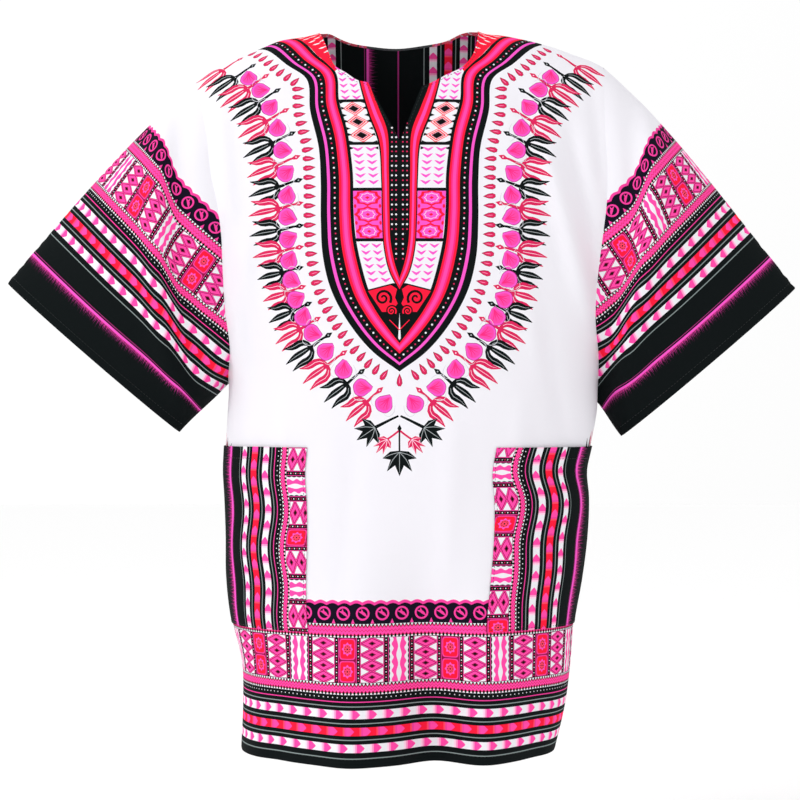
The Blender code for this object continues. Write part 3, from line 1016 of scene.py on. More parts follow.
@dataclass(frozen=True)
class Sprig:
    """A stalk with a bud at its foot and a cup of three fingers, drawn up its y axis, in millimetres."""

    length: float = 57.0

    def finger(self, side: int) -> Array:
        """Gives the path of one finger.

        Args:
            side: -1 or 1 for an outer finger, and 0 for the middle one.

        Returns:
            Eight points from the cup's foot to the finger's tip.
        """
        rows = {
            0: ((0.0, 25.0), (0.3, 35.0), (0.8, 45.0), (0.0, 57.0)),
            -1: ((0.0, 25.0), (-6.4, 27.4), (-9.4, 33.5), (-8.4, 42.5), (-9.8, 54.5)),
            1: ((0.0, 25.0), (6.4, 27.4), (9.6, 33.5), (10.0, 41.0), (14.4, 51.0)),
        }
        share = self.length / 57.0
        return smooth_path([(x, y * share) for x, y in rows[side]], 8)

    def draw(self, pen: Pen, ink: Ink) -> None:
        """Draws the sprig.

        Args:
            pen: Where it stands.
            ink: Its colour.
        """
        vein = Ink.ASH if ink is Ink.BLACK else Ink.PALE
        stalk = smooth_path(((0.0, 5.5), (0.4, 13.0), (-0.2, 21.0), (0.0, 27.0)), 5)
        pen.stroke(stalk, np.linspace(1.9, 3.4, 5), ink)
        pen.fill(((0, -1), (2.6, 4.0), (1.1, 8.2), (-1.1, 8.2), (-2.6, 4.0)), ink)
        pen.disc(0.0, 4.1, 0.9, vein)
        for side in (0, -1, 1):
            pen.stroke(self.finger(side), tapered(8, 3.6, 6.9 if side else 6.2, 0.6), ink)
        for side in (0, -1, 1):
            pen.stroke(self.finger(side)[1:7], tapered(6, 0.5, 0.55, 0.2), vein)


@dataclass(frozen=True)
class Blossom:
    """A fan of petals with veins, its narrow foot down the y axis, in millimetres."""

    width: float = 17.0
    height: float = 18.0

    def edge(self, grow: float) -> Array:
        """Gives the fan's scalloped edge.

        Args:
            grow: How far out it is moved.

        Returns:
            The edge's points.
        """
        angle = np.linspace(-0.16 * math.pi, 1.16 * math.pi, 15)
        ripple = 1 + 0.05 * np.abs(np.sin(angle * 3.0 + 0.6))
        x = (self.width / 2 + grow) * np.cos(angle) * ripple
        y = 1.6 + (self.height * 0.42 + grow) * np.sin(angle) * ripple
        low = self.height * 0.5
        foot = np.array(((-2.0 - grow * 0.5, -low), (1.6 + grow * 0.5, -1.08 * low - grow)))
        return np.vstack((np.column_stack((x, y)), foot))

    def draw(self, pen: Pen) -> None:
        """Draws the blossom between a pair of pale leaves.

        Args:
            pen: Where it stands.
        """
        for side in (-1.0, 1.0):
            leaf = ((side * 6.5, 9.0), (side * 11.5, 8.0), (side * 13.0, 1.0), (side * 9.5, -5.0))
            pen.stroke(smooth_path(leaf, 7), tapered(7, 0.3, 0.7, 0.3), Ink.MIST)
        for grow, ink in ((0.5, Ink.FRINGE), (-0.1, Ink.ORCHID), (-2.0, Ink.PINK)):
            pen.fill(self.edge(grow), ink)
        foot = -self.height * 0.40
        for lean in (-0.75, -0.25, 0.25, 0.75):
            tip = self.height * (0.30 - 0.14 * abs(lean))
            vein = ((0.0, foot), (lean * self.width * 0.26, 0.2 * tip), (lean * self.width * 0.46, tip))
            pen.stroke(smooth_path(vein, 5), tapered(5, 0.6, 1.0, 0.3), Ink.HOT)


@dataclass(frozen=True)
class Stretch(Pen):
    """A pen for a stretch of the border. Along is s, and up from the hem's edge is c, in millimetres.

    Attributes:
        low: The least s.
        high: The greatest s.
    """

    low: float = 0.0
    high: float = 0.0

    def band(self, floor: float, top: float, ink: Ink) -> None:
        """Fills a band from end to end."""
        self.strip(self.low, self.high, floor, top, ink)

    def spots(self, step: float, phase: float = 0.0) -> Array:
        """Gives every s that comes by this step, one of them at phase."""
        first = math.floor((self.low - phase) / step)
        return phase + step * np.arange(first, math.ceil((self.high - phase) / step) + 1)


@dataclass(frozen=True)
class Border:
    """The border cloth's bands, from the hem's edge up, in millimetres.

    Attributes:
        repeat: The length after which the panels come again.
        phase: An s where a panel of paired waves has its middle.
        arrow: The length of one arrow.
        ring: The length of one ring.
    """

    repeat: float = 103.0
    phase: float = 0.0
    arrow: float = 16.8
    ring: float = 19.6
    arrow_levels: tuple[float, ...] = (22.0, 38.5, 55.0)
    arrow_half: float = 4.1
    grey_levels: tuple[float, ...] = (12.0, 30.3, 46.3, 62.9)
    line_level: float = 67.4
    dot_level: float = 71.5
    dot_radius: float = 0.65
    dot_step: float = 4.9
    teeth_low: float = 74.0
    panel_low: float = 86.0
    panel_high: float = 130.0
    teeth_high: float = 144.0
    tooth_step: float = 3.7
    black_top: float = 145.0
    ring_level: float = 153.8
    top: float = 167.0
    fringe_level: float = -16.0
    fringed: bool = True

    def draw(self, run: Stretch, floor: float, top: float) -> None:
        """Draws the bands.

        Args:
            run: The stretch of border.
            floor: The lowest c.
            top: The highest c.
        """
        run.band(floor, min(top, self.black_top), Ink.BLACK)
        if floor < self.fringe_level:
            self.draw_fringe(run)
        for level in self.grey_levels:
            run.band(level - 0.5, level + 0.5, Ink.GREY)
        for index, level in enumerate(self.arrow_levels):
            self.draw_arrows(run, level, index == 1)
        run.band(self.line_level - 0.5, self.line_level + 0.5, Ink.ROSE)
        for s in run.spots(self.dot_step):
            run.disc(s, self.dot_level, self.dot_radius, Ink.CLOTH)
        self.draw_teeth(run, self.teeth_low, self.panel_low)
        if top > self.panel_low:
            self.draw_panels(run)
        if top > self.panel_high:
            self.draw_teeth(run, self.panel_high, self.teeth_high)
            self.draw_rings(run)

    def draw_fringe(self, run: Stretch) -> None:
        """Draws the pink line whose lower edge fades into the black in fine teeth.

        Args:
            run: The stretch of border.
        """
        level = self.fringe_level
        if not self.fringed:
            run.band(level - 0.8, level + 0.8, Ink.FRINGE)
            return
        for step, deep, ink, shift in (
            (1.7, 12.5, Ink.DUSK, 0.0), (1.5, 9.0, Ink.FRINGE, 0.4), (1.6, 5.6, Ink.ROSE, 0.9),
        ):
            for index, s in enumerate(run.spots(step)):
                tip = level - deep * (0.78 + 0.22 * math.sin(index * 2.4 + 0.7 * math.sin(index * 0.9)))
                foot = s + shift
                run.fill(((foot - step * 0.46, level), (foot + step * 0.46, level), (foot, tip)), ink)
        run.band(level - 1.9, level + 0.6, Ink.ORCHID)
        run.band(level + 2.2, level + 2.9, Ink.FRINGE)

    def draw_arrows(self, run: Stretch, level: float, red: bool) -> None:
        """Draws a row of arrows, each shaded from the ground's colour to its pink head.

        Args:
            run: The stretch of border.
            level: The c of the row's middle.
            red: Whether the ground is red.
        """
        half = self.arrow_half
        shades = (Ink.CORAL, Ink.ROSE, Ink.PINK) if red else (Ink.PALE, Ink.BLUSH, Ink.PINK)
        run.band(level - half, level + half, Ink.RED if red else Ink.CLOTH)
        for s in run.spots(self.arrow, level * 0.37):
            edges = (s - 5.0, s - 3.2, s - 1.4, s + 1.2)
            for start, end, ink in zip(edges[:-1], edges[1:], shades):
                run.strip(start, end + 0.4, level - half, level + half, ink)
            head = ((0.2, -1.0), (2.6, -0.92), (5.2, -0.35), (6.4, 0.0), (5.2, 0.35), (2.6, 0.92), (0.2, 1.0))
            run.fill([(s + along, level + half * up) for along, up in head], shades[2])

    def draw_teeth(self, run: Stretch, floor: float, top: float) -> None:
        """Draws a pink band with saw edges between two rows of white teeth.

        Args:
            run: The stretch of border.
            floor: The lower row's c.
            top: The upper row's c.
        """
        middle = (floor + top) / 2
        half = (top - floor) / 2 - 3.3
        for s in run.spots(self.tooth_step):
            for way, edge in ((1.0, floor + 0.4), (-1.0, top - 0.4)):
                run.fill(((s - 1.35, edge), (s + 1.35, edge), (s, edge + way * 2.7)), Ink.CLOTH)
        marks = run.spots(self.tooth_step / 2)
        saw = np.where(np.arange(len(marks)) % 2 == 0, 1.0, -1.0)
        for grow, ink in ((0.6, Ink.CRIMSON), (-0.3, Ink.PINK)):
            upper = np.column_stack((marks, middle + half + grow + 1.1 * saw))
            lower = np.column_stack((marks, middle - half - grow + 1.1 * saw))
            run.fill(np.vstack((upper, lower[::-1])), ink)
        line = np.column_stack((marks, middle + 1.1 * saw))
        run.fill(np.vstack((line + (0.0, 0.42), (line - (0.0, 0.42))[::-1])), Ink.CRIMSON)

    def draw_panels(self, run: Stretch) -> None:
        """Draws the upright panels: paired waves, diamonds, rosettes and diamonds, with bars between.

        Args:
            run: The stretch of border.
        """
        bar, diamonds = self.draw_bar, self.draw_diamonds
        panels = (
            (20.5, self.draw_waves), (5.2, bar), (22.8, diamonds), (4.6, bar), (17.6, self.draw_rosettes),
            (4.6, bar), (22.8, diamonds), (5.2, bar),
        )
        share = self.repeat / sum(width for width, _ in panels)
        for start in run.spots(self.repeat, self.phase):
            left = start - panels[0][0] * share / 2
            for width, draw_panel in panels:
                right = left + width * share
                if right > run.low - 2 and left < run.high + 2:
                    draw_panel(run, left, right)
                left = right

    def draw_bar(self, run: Stretch, left: float, right: float) -> None:
        """Draws a dark bar of white and wine dots.

        Args:
            run: The stretch of border.
            left: The bar's least s.
            right: The bar's greatest s.
        """
        run.strip(left, left + 0.6, self.panel_low, self.panel_high, Ink.ROSE)
        run.strip(right - 0.6, right, self.panel_low, self.panel_high, Ink.ROSE)
        for index, c in enumerate(np.arange(self.panel_low + 2.0, self.panel_high - 1.0, 2.65)):
            run.disc((left + right) / 2, c, 0.68, Ink.CLOTH if index % 2 else Ink.CRIMSON)

    def draw_waves(self, run: Stretch, left: float, right: float) -> None:
        """Draws a white panel with scalloped edges and two wavy pink ribbons.

        Args:
            run: The stretch of border.
            left: The panel's least s.
            right: The panel's greatest s.
        """
        c = np.linspace(self.panel_low, self.panel_high, 41)
        turn = (c - self.panel_low) / (self.panel_high - self.panel_low)
        middle, half = (left + right) / 2, (right - left) / 2
        scallop = half - 0.5 - 0.9 * np.abs(np.sin(turn * math.pi * 8))
        edges = np.column_stack((middle - scallop, c)), np.column_stack((middle + scallop, c))
        run.fill(np.vstack((edges[0], edges[1][::-1])), Ink.CLOTH)
        gap = 0.9 + 1.7 * np.sin(turn * math.pi * 2.5) ** 2
        bulge = half * 0.62 + 1.0 * np.sin(turn * math.pi * 10)
        for way in (-1.0, 1.0):
            inner, outer = (np.column_stack((middle + way * reach, c)) for reach in (gap, bulge))
            run.fill(np.vstack((inner, outer[::-1])), Ink.PINK)

    def draw_diamonds(self, run: Stretch, left: float, right: float) -> None:
        """Draws a white panel with a column of pink diamonds, each with a dark heart.

        Args:
            run: The stretch of border.
            left: The panel's least s.
            right: The panel's greatest s.
        """
        run.strip(left, right, self.panel_low, self.panel_high, Ink.ROSE)
        middle, half = (left + right) / 2, (right - left) / 2
        count = 4
        up = (self.panel_high - self.panel_low) / count / 2
        for index in range(count):
            c = self.panel_low + up * (2 * index + 1)
            for across, upward, ink in (
                (half - 0.2, up - 0.1, Ink.WINE), (half - 1.5, up - 0.8, Ink.PINK),
                (half * 0.34, up * 0.40, Ink.WINE), (half * 0.20, up * 0.23, Ink.BLACK),
            ):
                run.fill(rhomb(middle, c, across, upward), ink)
        for index in range(count + 1):
            c = self.panel_low + up * 2 * index
            foot, peak = max(c - up + 1.0, self.panel_low), min(c + up - 1.0, self.panel_high)
            for way in (-1.0, 1.0):
                for inset, ink in ((0.0, Ink.WINE), (0.55, Ink.CLOTH)):
                    side = middle + way * (half - inset * 0.5)
                    apex = middle + way * (half * 0.20 + inset * 1.6)
                    run.fill(((side, foot + inset), (side, peak - inset), (apex, c)), ink)

    def draw_rosettes(self, run: Stretch, left: float, right: float) -> None:
        """Draws two red pillows, each edged in pink with a rosette of dark seeds.

        Args:
            run: The stretch of border.
            left: The panel's least s.
            right: The panel's greatest s.
        """
        run.strip(left, right, self.panel_low, self.panel_high, Ink.WINE)
        middle, half = (left + right) / 2, (right - left) / 2
        up = (self.panel_high - self.panel_low) / 4
        pillow = [np.sign(wave) * np.abs(wave) ** 0.32 for wave in circle(20).T]
        for c in (self.panel_low + up, self.panel_high - up):
            for grow, ink in ((0.0, Ink.ROSE), (-1.1, Ink.RED)):
                x, y = middle + (half - 0.5 + grow) * pillow[0], c + (up - 0.5 + grow) * pillow[1]
                run.fill(np.column_stack((x, y)), ink)
            run.fill(lobed(middle, c, 5.0, 5.9, 0.16), Ink.ORCHID)
            run.fill(ellipse(middle, c, 3.7, 4.5, 12), Ink.CORAL)
            for x, y in circle(8):
                run.disc(middle + 2.5 * x, c + 3.0 * y, 0.72, Ink.WINE)
            run.disc(middle, c, 0.9, Ink.BLACK, 6)

    def draw_rings(self, run: Stretch) -> None:
        """Draws the scalloped top band with its row of rings, each with a leaf in it.

        Args:
            run: The stretch of border.
        """
        floor, c, arc = self.teeth_high, self.ring_level, self.ring * 0.62
        s = np.arange(run.low, run.high + 1.0, arc / 8)
        bump = np.abs(np.sin((s - self.phase) * math.pi / arc))
        for drop, ink in ((0.0, Ink.ROSE), (3.1, Ink.NIGHT)):
            edge = np.column_stack((s, self.top - drop - 2.3 + 2.3 * bump))
            run.fill(np.vstack((edge, ((s[-1], floor), (run.low, floor)))), ink)
        for middle in run.spots(self.ring, self.phase + 3.0):
            run.fill(ellipse(middle, c, 6.9, 6.9, 18), Ink.ROSE)
            run.fill(ellipse(middle, c, 5.0, 5.0, 16), Ink.NIGHT)
            leaf = smooth_path(((middle - 4.2, c + 2.0), (middle, c + 0.6), (middle + 4.6, c - 3.4)), 7)
            run.stroke(leaf, tapered(7, 0.5, 2.9, 0.4), Ink.ROSE)
            leaf = smooth_path(((middle - 1.0, c + 4.4), (middle - 0.4, c + 1.6), (middle + 0.4, c + 0.2)), 5)
            run.stroke(leaf, tapered(5, 0.4, 1.8, 0.8), Ink.ROSE)
            tip = middle + self.ring / 2
            run.fill(((tip - 1.9, floor), (tip + 1.9, floor), (tip, floor + 4.6)), Ink.ROSE)


# The shield's outer edge and field edge on the viewer's left, row by row down: a, b in millimetres
SHIELD_OUTER = (
    (-151.0, 4.0), (-141.0, -7.5), (-118.7, -34.9), (-97.4, -53.8), (-92.7, -91.2), (-83.0, -135.0),
    (-81.2, -166.4), (-81.0, -207.5), (-78.9, -244.1), (-71.9, -274.3), (-51.8, -312.6), (-28.0, -340.8),
    (-1.5, -360.4),
)
SHIELD_FIELD = (
    (-118.0, 24.0), (-107.8, 11.2), (-86.6, -24.2), (-67.5, -47.3), (-63.1, -81.2), (-53.7, -118.5),
    (-48.8, -156.4), (-47.8, -197.6), (-44.3, -233.1), (-35.2, -270.5), (-23.1, -296.6), (-11.0, -314.7),
    (-1.5, -328.7),
)
# The band round the slit, outer and inner edges: a, b in millimetres
SLIT_BAND_OUTER = (
    (-47.0, -40.0), (-42.8, -61.2), (-33.5, -97.2), (-23.2, -127.3), (-20.1, -166.9), (-19.1, -207.9),
    (-17.1, -238.3), (-11.0, -262.5), (-1.5, -279.6),
)
SLIT_BAND_INNER = (
    (-36.0, -40.0), (-31.6, -61.5), (-22.3, -88.5), (-13.1, -114.6), (-11.7, -156.6), (-11.1, -197.7),
    (-10.0, -228.2), (-6.0, -250.4), (-1.5, -265.5),
)
# The ring of sprigs on the viewer's left, down from the shoulder: bud a, b, finger tips a, b in millimetres
SPRIG_RING = (
    (-166.0, -14.0, -214.0, -58.0),
    (-123.9, -65.5, -175.7, -101.0),
    (-102.7, -140.4, -157.4, -162.5),
    (-98.8, -212.2, -155.4, -223.1),
    (-96.9, -273.8, -142.6, -289.0),
    (-70.2, -321.5, -119.3, -353.0),
    (-18.5, -376.5, -55.6, -410.3),
)


def mirrored(points: Array) -> Array:
    """Turns points over to the viewer's right of the shield's middle line."""
    return np.column_stack((2 * Shield.MIDDLE - points[:, 0], points[:, 1]))


class Shield:
    """The pointed panel of bands round the neck and slit, with its ring of flowers, in millimetres.

    It is drawn on the viewer's left, and each pen lays it there or turns it over to the right.
    """

    MIDDLE = -1.5
    STEPS = 90
    TOP = 90.0
    DOT = 10.4
    DROP_OUT = 11.2
    DROP_STEP = 9.8
    SPRIGS = 19
    LAST_BLOSSOM = (-16.4, -392.3)
    BLOSSOM_TURNS = (0.9, -0.7, 0.2)
    BANDS = (
        (0.0, Ink.BLACK), (0.20, Ink.ORCHID), (0.29, Ink.BLACK), (0.57, Ink.RED), (0.64, Ink.HOT),
        (0.69, Ink.PINK), (0.79, Ink.HOT), (0.84, Ink.RED), (0.90, Ink.BLACK), (1.0, Ink.CLOTH),
    )
    SLIT_BANDS = (
        (0.0, Ink.BLACK), (0.14, Ink.RED), (0.40, Ink.PINK), (0.66, Ink.RED), (0.92, Ink.BLACK),
    )
    DIVIDERS = (-82.0, -128.4, -176.2, -227.8)
    BASE = -272.0
    FIELD_TOP = -38.0

    def between(self, outer: Sequence, inner: Sequence, share: float) -> Array:
        """Gives the line that runs down the left side between two edges.

        Args:
            outer: The edge at share 0, row by row down.
            inner: The edge at share 1, with as many rows.
            share: How far the line lies from the outer edge to the inner one.

        Returns:
            The line's points.
        """
        t = np.linspace(0.0, 1.0, self.STEPS)
        knots = chorded(outer)[:, 0]
        edges = [track(np.column_stack((knots, np.asarray(edge))), t) for edge in (outer, inner)]
        return edges[0] * (1 - share) + edges[1] * share

    def inside(self, line: Array) -> Array:
        """Gives the outline of all that lies inside a line and its mirror image, up past the shoulders."""
        left = np.vstack(((line[0, 0], self.TOP), line))
        return np.vstack((left, mirrored(left)[::-1][1:]))

    def edge_a(self, edge: Sequence, b: Array | float) -> Array:
        """Gives the a of an edge on the left at this b."""
        rows = np.asarray(edge)[::-1]
        return np.interp(b, rows[:, 1], rows[:, 0])

    def across(self, points: Array) -> Array:
        """Lays out u and b on the left side.

        Args:
            points: Each u, from 0 at the field's edge to 1 at the slit's band, and its b.

        Returns:
            The points on the flat cut.
        """
        u, b = points[:, 0], points[:, 1]
        outer = self.edge_a(SHIELD_FIELD, b)
        inner = np.minimum(self.edge_a(SLIT_BAND_OUTER, b), self.MIDDLE)
        return np.column_stack((outer * (1 - u) + inner * u, b))

    def draw(self, drawing: Drawing) -> None:
        """Draws the shield and the flowers round it.

        Args:
            drawing: The panel's drawing.
        """
        whole, sides = Pen(drawing), (Pen(drawing), Pen(drawing, mirrored))
        self.draw_flowers(whole, sides)
        for share, ink in self.BANDS:
            whole.fill(self.inside(self.between(SHIELD_OUTER, SHIELD_FIELD, share)), ink)
        line = self.between(SHIELD_OUTER, SHIELD_FIELD, 0.43)
        along = lengths_along(line)
        for start, radius, ink in ((0.0, 1.15, Ink.CLOTH), (self.DOT / 2, 0.95, Ink.CRIMSON)):
            for spot in np.arange(start, along[-1], self.DOT):
                a, b = (float(np.interp(spot, along, line[:, axis])) for axis in (0, 1))
                for pen in sides:
                    pen.disc(a, b, radius, ink)
        for pen in sides:
            self.draw_yoke(pen)
            self.draw_field(pen)
        for share, ink in self.SLIT_BANDS:
            whole.fill(self.inside(self.between(SLIT_BAND_OUTER, SLIT_BAND_INNER, share)), ink)
        for index, b in enumerate(np.arange(-262.0, -60.0, 5.0)):
            room = self.MIDDLE - float(self.edge_a(SLIT_BAND_INNER, b))
            radius, ink = (0.95, Ink.CRIMSON) if index % 2 else (1.15, Ink.CLOTH)
            for out in (7.6, 3.4):
                if out < room - 1.2:
                    whole.disc(self.MIDDLE - out, b, radius, ink)
                    whole.disc(self.MIDDLE + out, b, radius, ink)

    def draw_yoke(self, pen: Pen) -> None:
        """Draws the red ground by the neck, with pale leaf marks.

        Args:
            pen: The side.
        """
        ground = (
            (-118.0, 24.0), (-107.8, 11.2), (-86.6, -24.2), SHIELD_FIELD[3], (-58.0, -34.0), (-30.0, 60.0),
            (-110.0, 60.0),
        )
        pen.fill(ground, Ink.RED)
        leaf = np.array(((0.0, -4.2), (0.25, -1.5), (0.1, 1.5), (-0.4, 4.2)))
        for row, b in enumerate(np.arange(-48.0, 34.0, 6.2)):
            heading = 0.35 + 0.2 * math.sin(row * 1.7)
            for column, a in enumerate(np.arange(-104.0, -54.0, 11.5)):
                spot = Placing(float(a) + 5.0 * (row % 2), float(b) - 1.5 * column, heading)
                if spot.a > float(self.edge_a(SHIELD_FIELD, spot.b)) + 6.0:
                    pen.at(spot).stroke(leaf, np.array((0.3, 2.0, 2.0, 0.3)), Ink.CLOTH)

    def draw_field(self, pen: Pen) -> None:
        """Draws the field's compartments.

        Args:
            pen: The side.
        """
        draw = (
            self.draw_chevrons, self.draw_lattice, self.draw_chevrons, self.draw_blossom_lattice,
            self.draw_chevrons,
        )
        tops = (self.FIELD_TOP, *self.DIVIDERS)
        floors = (*self.DIVIDERS, self.BASE)
        for draw_compartment, top, floor in zip(draw, tops, floors):
            draw_compartment(pen, top, floor)
        for b in self.DIVIDERS:
            corners = np.array(((-0.05, b - 1.6), (1.05, b - 1.6), (1.05, b + 1.6), (-0.05, b + 1.6)))
            pen.fill(self.across(corners), Ink.BLACK)
        self.draw_base(pen)

    def draw_chevrons(self, pen: Pen, top: float, floor: float) -> None:
        """Draws two columns of pink chevrons on white.

        Args:
            pen: The side.
            top: The compartment's greatest b.
            floor: The compartment's least b.
        """
        wing = np.array((-1.0, -0.55, 0.0, 0.55, 1.0))
        for b in np.arange(top - 6.0, floor + 1.0, -6.9):
            outer = float(self.edge_a(SHIELD_FIELD, b)) + 1.4
            inner = min(float(self.edge_a(SLIT_BAND_OUTER, b)), self.MIDDLE) - 1.2
            middle, half = (outer + inner) / 2, (inner - outer) / 2
            if half < 3.5:
                continue
            for centre in (middle - half * 0.5, middle + half * 0.5):
                across = centre + half * 0.42 * wing
                low = np.column_stack((across, b + np.array((2.0, -0.4, -2.4, -0.4, 2.0))))
                high = np.column_stack((across, b + np.array((2.3, 1.9, 0.5, 1.9, 2.3))))
                pen.fill(np.vstack((low, high[::-1])), Ink.ORCHID)

    def draw_lattice(self, pen: Pen, top: float, floor: float) -> None:
        """Draws crossed red lines round a column of black diamonds, with sawn black edges.

        Args:
            pen: The side.
            top: The compartment's greatest b.
            floor: The compartment's least b.
        """
        rows = 3
        up = (top - floor - 3.2) / rows / 2
        for row in range(rows):
            b = top - 1.6 - up * (2 * row + 1)
            for across, share, ink in (
                (0.44, 1.08, Ink.RED), (0.38, 0.93, Ink.CLOTH), (0.33, 0.81, Ink.RED),
                (0.25, 0.61, Ink.CLOTH), (0.22, 0.54, Ink.WINE), (0.18, 0.44, Ink.BLACK),
            ):
                pen.fill(self.across(rhomb(0.5, b, across, up * share)), ink)
        for row in range(rows + 1):
            b = top - 1.6 - up * 2 * row
            for way in (-1.0, 1.0):
                edge, tip = 0.5 - 0.5 * way, 0.5 - 0.34 * way
                for level in (b, b - 0.9 * up):
                    tooth = np.array(((edge, level - 1.7), (tip, level), (edge, level + 1.7)))
                    pen.fill(self.across(tooth), Ink.BLACK)

    def draw_blossom_lattice(self, pen: Pen, top: float, floor: float) -> None:
        """Draws a pink ground of red rings with four-petal blossoms between them.

        Args:
            pen: The side.
            top: The compartment's greatest b.
            floor: The compartment's least b.
        """
        pen.at(self.across).strip(0.0, 1.0, floor, top, Ink.ORCHID)
        rows = 3
        step = (top - floor) / rows
        for row in range(rows):
            b = top - step * (row + 0.5)
            for across, up, ink in (
                (0.46, 7.9, Ink.RED), (0.34, 6.1, Ink.ORCHID), (0.25, 4.6, Ink.PALE), (0.22, 4.0, Ink.ORCHID),
            ):
                pen.fill(self.across(lobed(0.5, b, across, up, 0.10)), ink)
            pen.fill(self.across(rhomb(0.5, b, 0.08, 1.5)), Ink.RED)
            for u in (0.06, 0.94):
                pen.fill(self.across(ellipse(u, b - step / 2, 0.05, 2.2, 6)), Ink.RED)

    def draw_base(self, pen: Pen) -> None:
        """Draws the dark point of the field with its scrolls.

        Args:
            pen: The side.
        """
        left = [(a - 1.4, b) for a, b in SHIELD_FIELD if b < self.BASE + 2.0]
        edge = [(float(self.edge_a(SHIELD_FIELD, self.BASE - 6.0)) - 1.4, self.BASE - 6.0), *left]
        pen.fill((*edge, (0.0, self.BASE), (-8.0, self.BASE + 0.5)), Ink.BLACK)
        red = (
            (-33.0, -279.5), (-10.0, -273.5), (-4.0, -277.5), (-6.0, -286.0), (-3.4, -292.0), (-9.0, -300.0),
            (-19.0, -300.5),
        )
        pen.fill(red, Ink.RED)
        turn = np.linspace(0.0, 1.55 * 2 * math.pi, 26)
        for a, b, size, width, ink in (
            (-18.0, -286.5, 8.6, 2.8, Ink.BLACK), (-9.6, -299.5, 5.2, 4.2, Ink.BLACK),
            (-9.6, -299.5, 4.9, 1.5, Ink.RED),
        ):
            reach = size * (1 - 0.86 * turn / turn[-1])
            coil = np.column_stack((a + reach * np.cos(turn - 0.6), b + reach * np.sin(turn - 0.6)))
            pen.stroke(coil, width * (1 - 0.35 * turn / turn[-1]), ink)
        pen.stroke(np.array(((-11.5, -308.5), (-6.5, -313.5), (-1.5, -318.5))), 0.9, Ink.RED)

    def draw_flowers(self, whole: Pen, sides: Sequence[Pen]) -> None:
        """Draws the drops, sprigs and blossoms round the shield, and the group below its point.

        Args:
            whole: The pen for what stands on the middle line.
            sides: The pens for the two sides.
        """
        knots = np.linspace(0.0, 1.0, len(SPRIG_RING))[:, None]
        ring = track(np.hstack((knots, np.array(SPRIG_RING))), np.linspace(0.0, 1.0, self.SPRIGS))
        buds, ways = ring[:, :2], ring[:, 2:] - ring[:, :2]
        headings, lengths = np.arctan2(ways[:, 1], ways[:, 0]), np.linalg.norm(ways, axis=1)
        between = (buds[1:-1] + buds[2:]) / 2 + 0.28 * (ways[1:-1] + ways[2:]) / 2
        blossoms = np.vstack((between, self.LAST_BLOSSOM))
        for pen in sides:
            for index, ((a, b), heading, length) in enumerate(zip(buds, headings, lengths)):
                Sprig(length).draw(pen.at(Placing(a, b, heading)), Ink.BLACK if index % 2 else Ink.CRIMSON)
        self.draw_low_group(whole, sides)
        for pen in sides:
            for index, ((a, b), heading) in enumerate(zip(blossoms, headings)):
                Blossom().draw(pen.at(Placing(a, b, heading + self.BLOSSOM_TURNS[index % 3])))
            self.draw_drops(pen)

    def draw_drops(self, pen: Pen) -> None:
        """Draws the ring of drops that points at the shield's edge.

        Args:
            pen: The side.
        """
        edge = track(chorded(SHIELD_OUTER), np.linspace(0.0, 1.0, 240))
        line = beside(edge, -self.DROP_OUT)
        room = np.linalg.norm(line[:, None] - edge[None], axis=-1).min(axis=1)
        line = line[room > self.DROP_OUT * 0.99]
        along = lengths_along(line)
        for spot in np.arange(6.0, along[-1] - 5.0, self.DROP_STEP):
            middle = np.array([np.interp(spot, along, line[:, axis]) for axis in (0, 1)])
            near = edge[int(np.argmin(np.linalg.norm(edge - middle, axis=1)))]
            way = (middle - near) / np.linalg.norm(middle - near)
            foot = middle - way * 6.4
            self.draw_drop(pen.at(Placing(float(foot[0]), float(foot[1]), math.atan2(way[1], way[0]))))

    @staticmethod
    def draw_drop(pen: Pen) -> None:
        """Draws one drop, edged in wine and with a thin gleam.

        Args:
            pen: Where it stands.
        """
        pen.fill(teardrop(13.2, 6.2), Ink.WINE)
        pen.fill(teardrop(11.6, 4.9) + (0.0, 1.1), Ink.CRIMSON)
        gleam = np.array(((0.0, 3.8), (0.0, 6.8), (0.0, 9.8)))
        pen.stroke(gleam, np.array((0.15, 0.55, 0.3)), Ink.BLUSH)

    def draw_low_group(self, whole: Pen, sides: Sequence[Pen]) -> None:
        """Draws the leaves and flower heads below the shield's point.

        Args:
            whole: The pen for what stands on the middle line.
            sides: The pens for the two sides.
        """
        down = math.radians(-90)
        self.draw_drop(whole.at(Placing(self.MIDDLE, -362.5, down)))
        for pen in sides:
            stalk = smooth_path(((-2.5, -405.0), (-10.0, -408.5), (-20.0, -413.5), (-27.0, -417.0)), 9)
            pen.stroke(stalk, np.linspace(2.0, 3.4, 9), Ink.BLACK)
            self.draw_leaves(pen.at(Placing(-25.5, -416.5, math.radians(214))), Ink.BLACK, 22.0, 0.95)
            pen.stroke(smooth_path(((-1.5, -419.5), (-8.0, -424.5), (-14.5, -429.0)), 7), 2.0, Ink.CRIMSON)
            self.draw_leaves(pen.at(Placing(-13.5, -428.0, math.radians(231))), Ink.CRIMSON, 17.5, 0.66)
        whole.stroke(smooth_path(((-1.5, -416.0), (-1.6, -430.0), (-1.5, -444.0)), 7), 1.7, Ink.BLACK)
        whole.fill(rhomb(-1.5, -417.5, 2.2, 4.0), Ink.BLACK)
        self.draw_leaves(whole.at(Placing(self.MIDDLE, -440.5, down)), Ink.BLACK, 23.5, 1.0)

    def draw_leaves(self, pen: Pen, ink: Ink, size: float, spread: float) -> None:
        """Draws a leaf of five points, each with a pale line.

        Args:
            pen: Where the fan stands.
            ink: Its colour.
            size: Its length.
            spread: How far it opens.
        """
        vein = Ink.ASH if ink is Ink.BLACK else Ink.PALE
        scale = (size * spread, size)
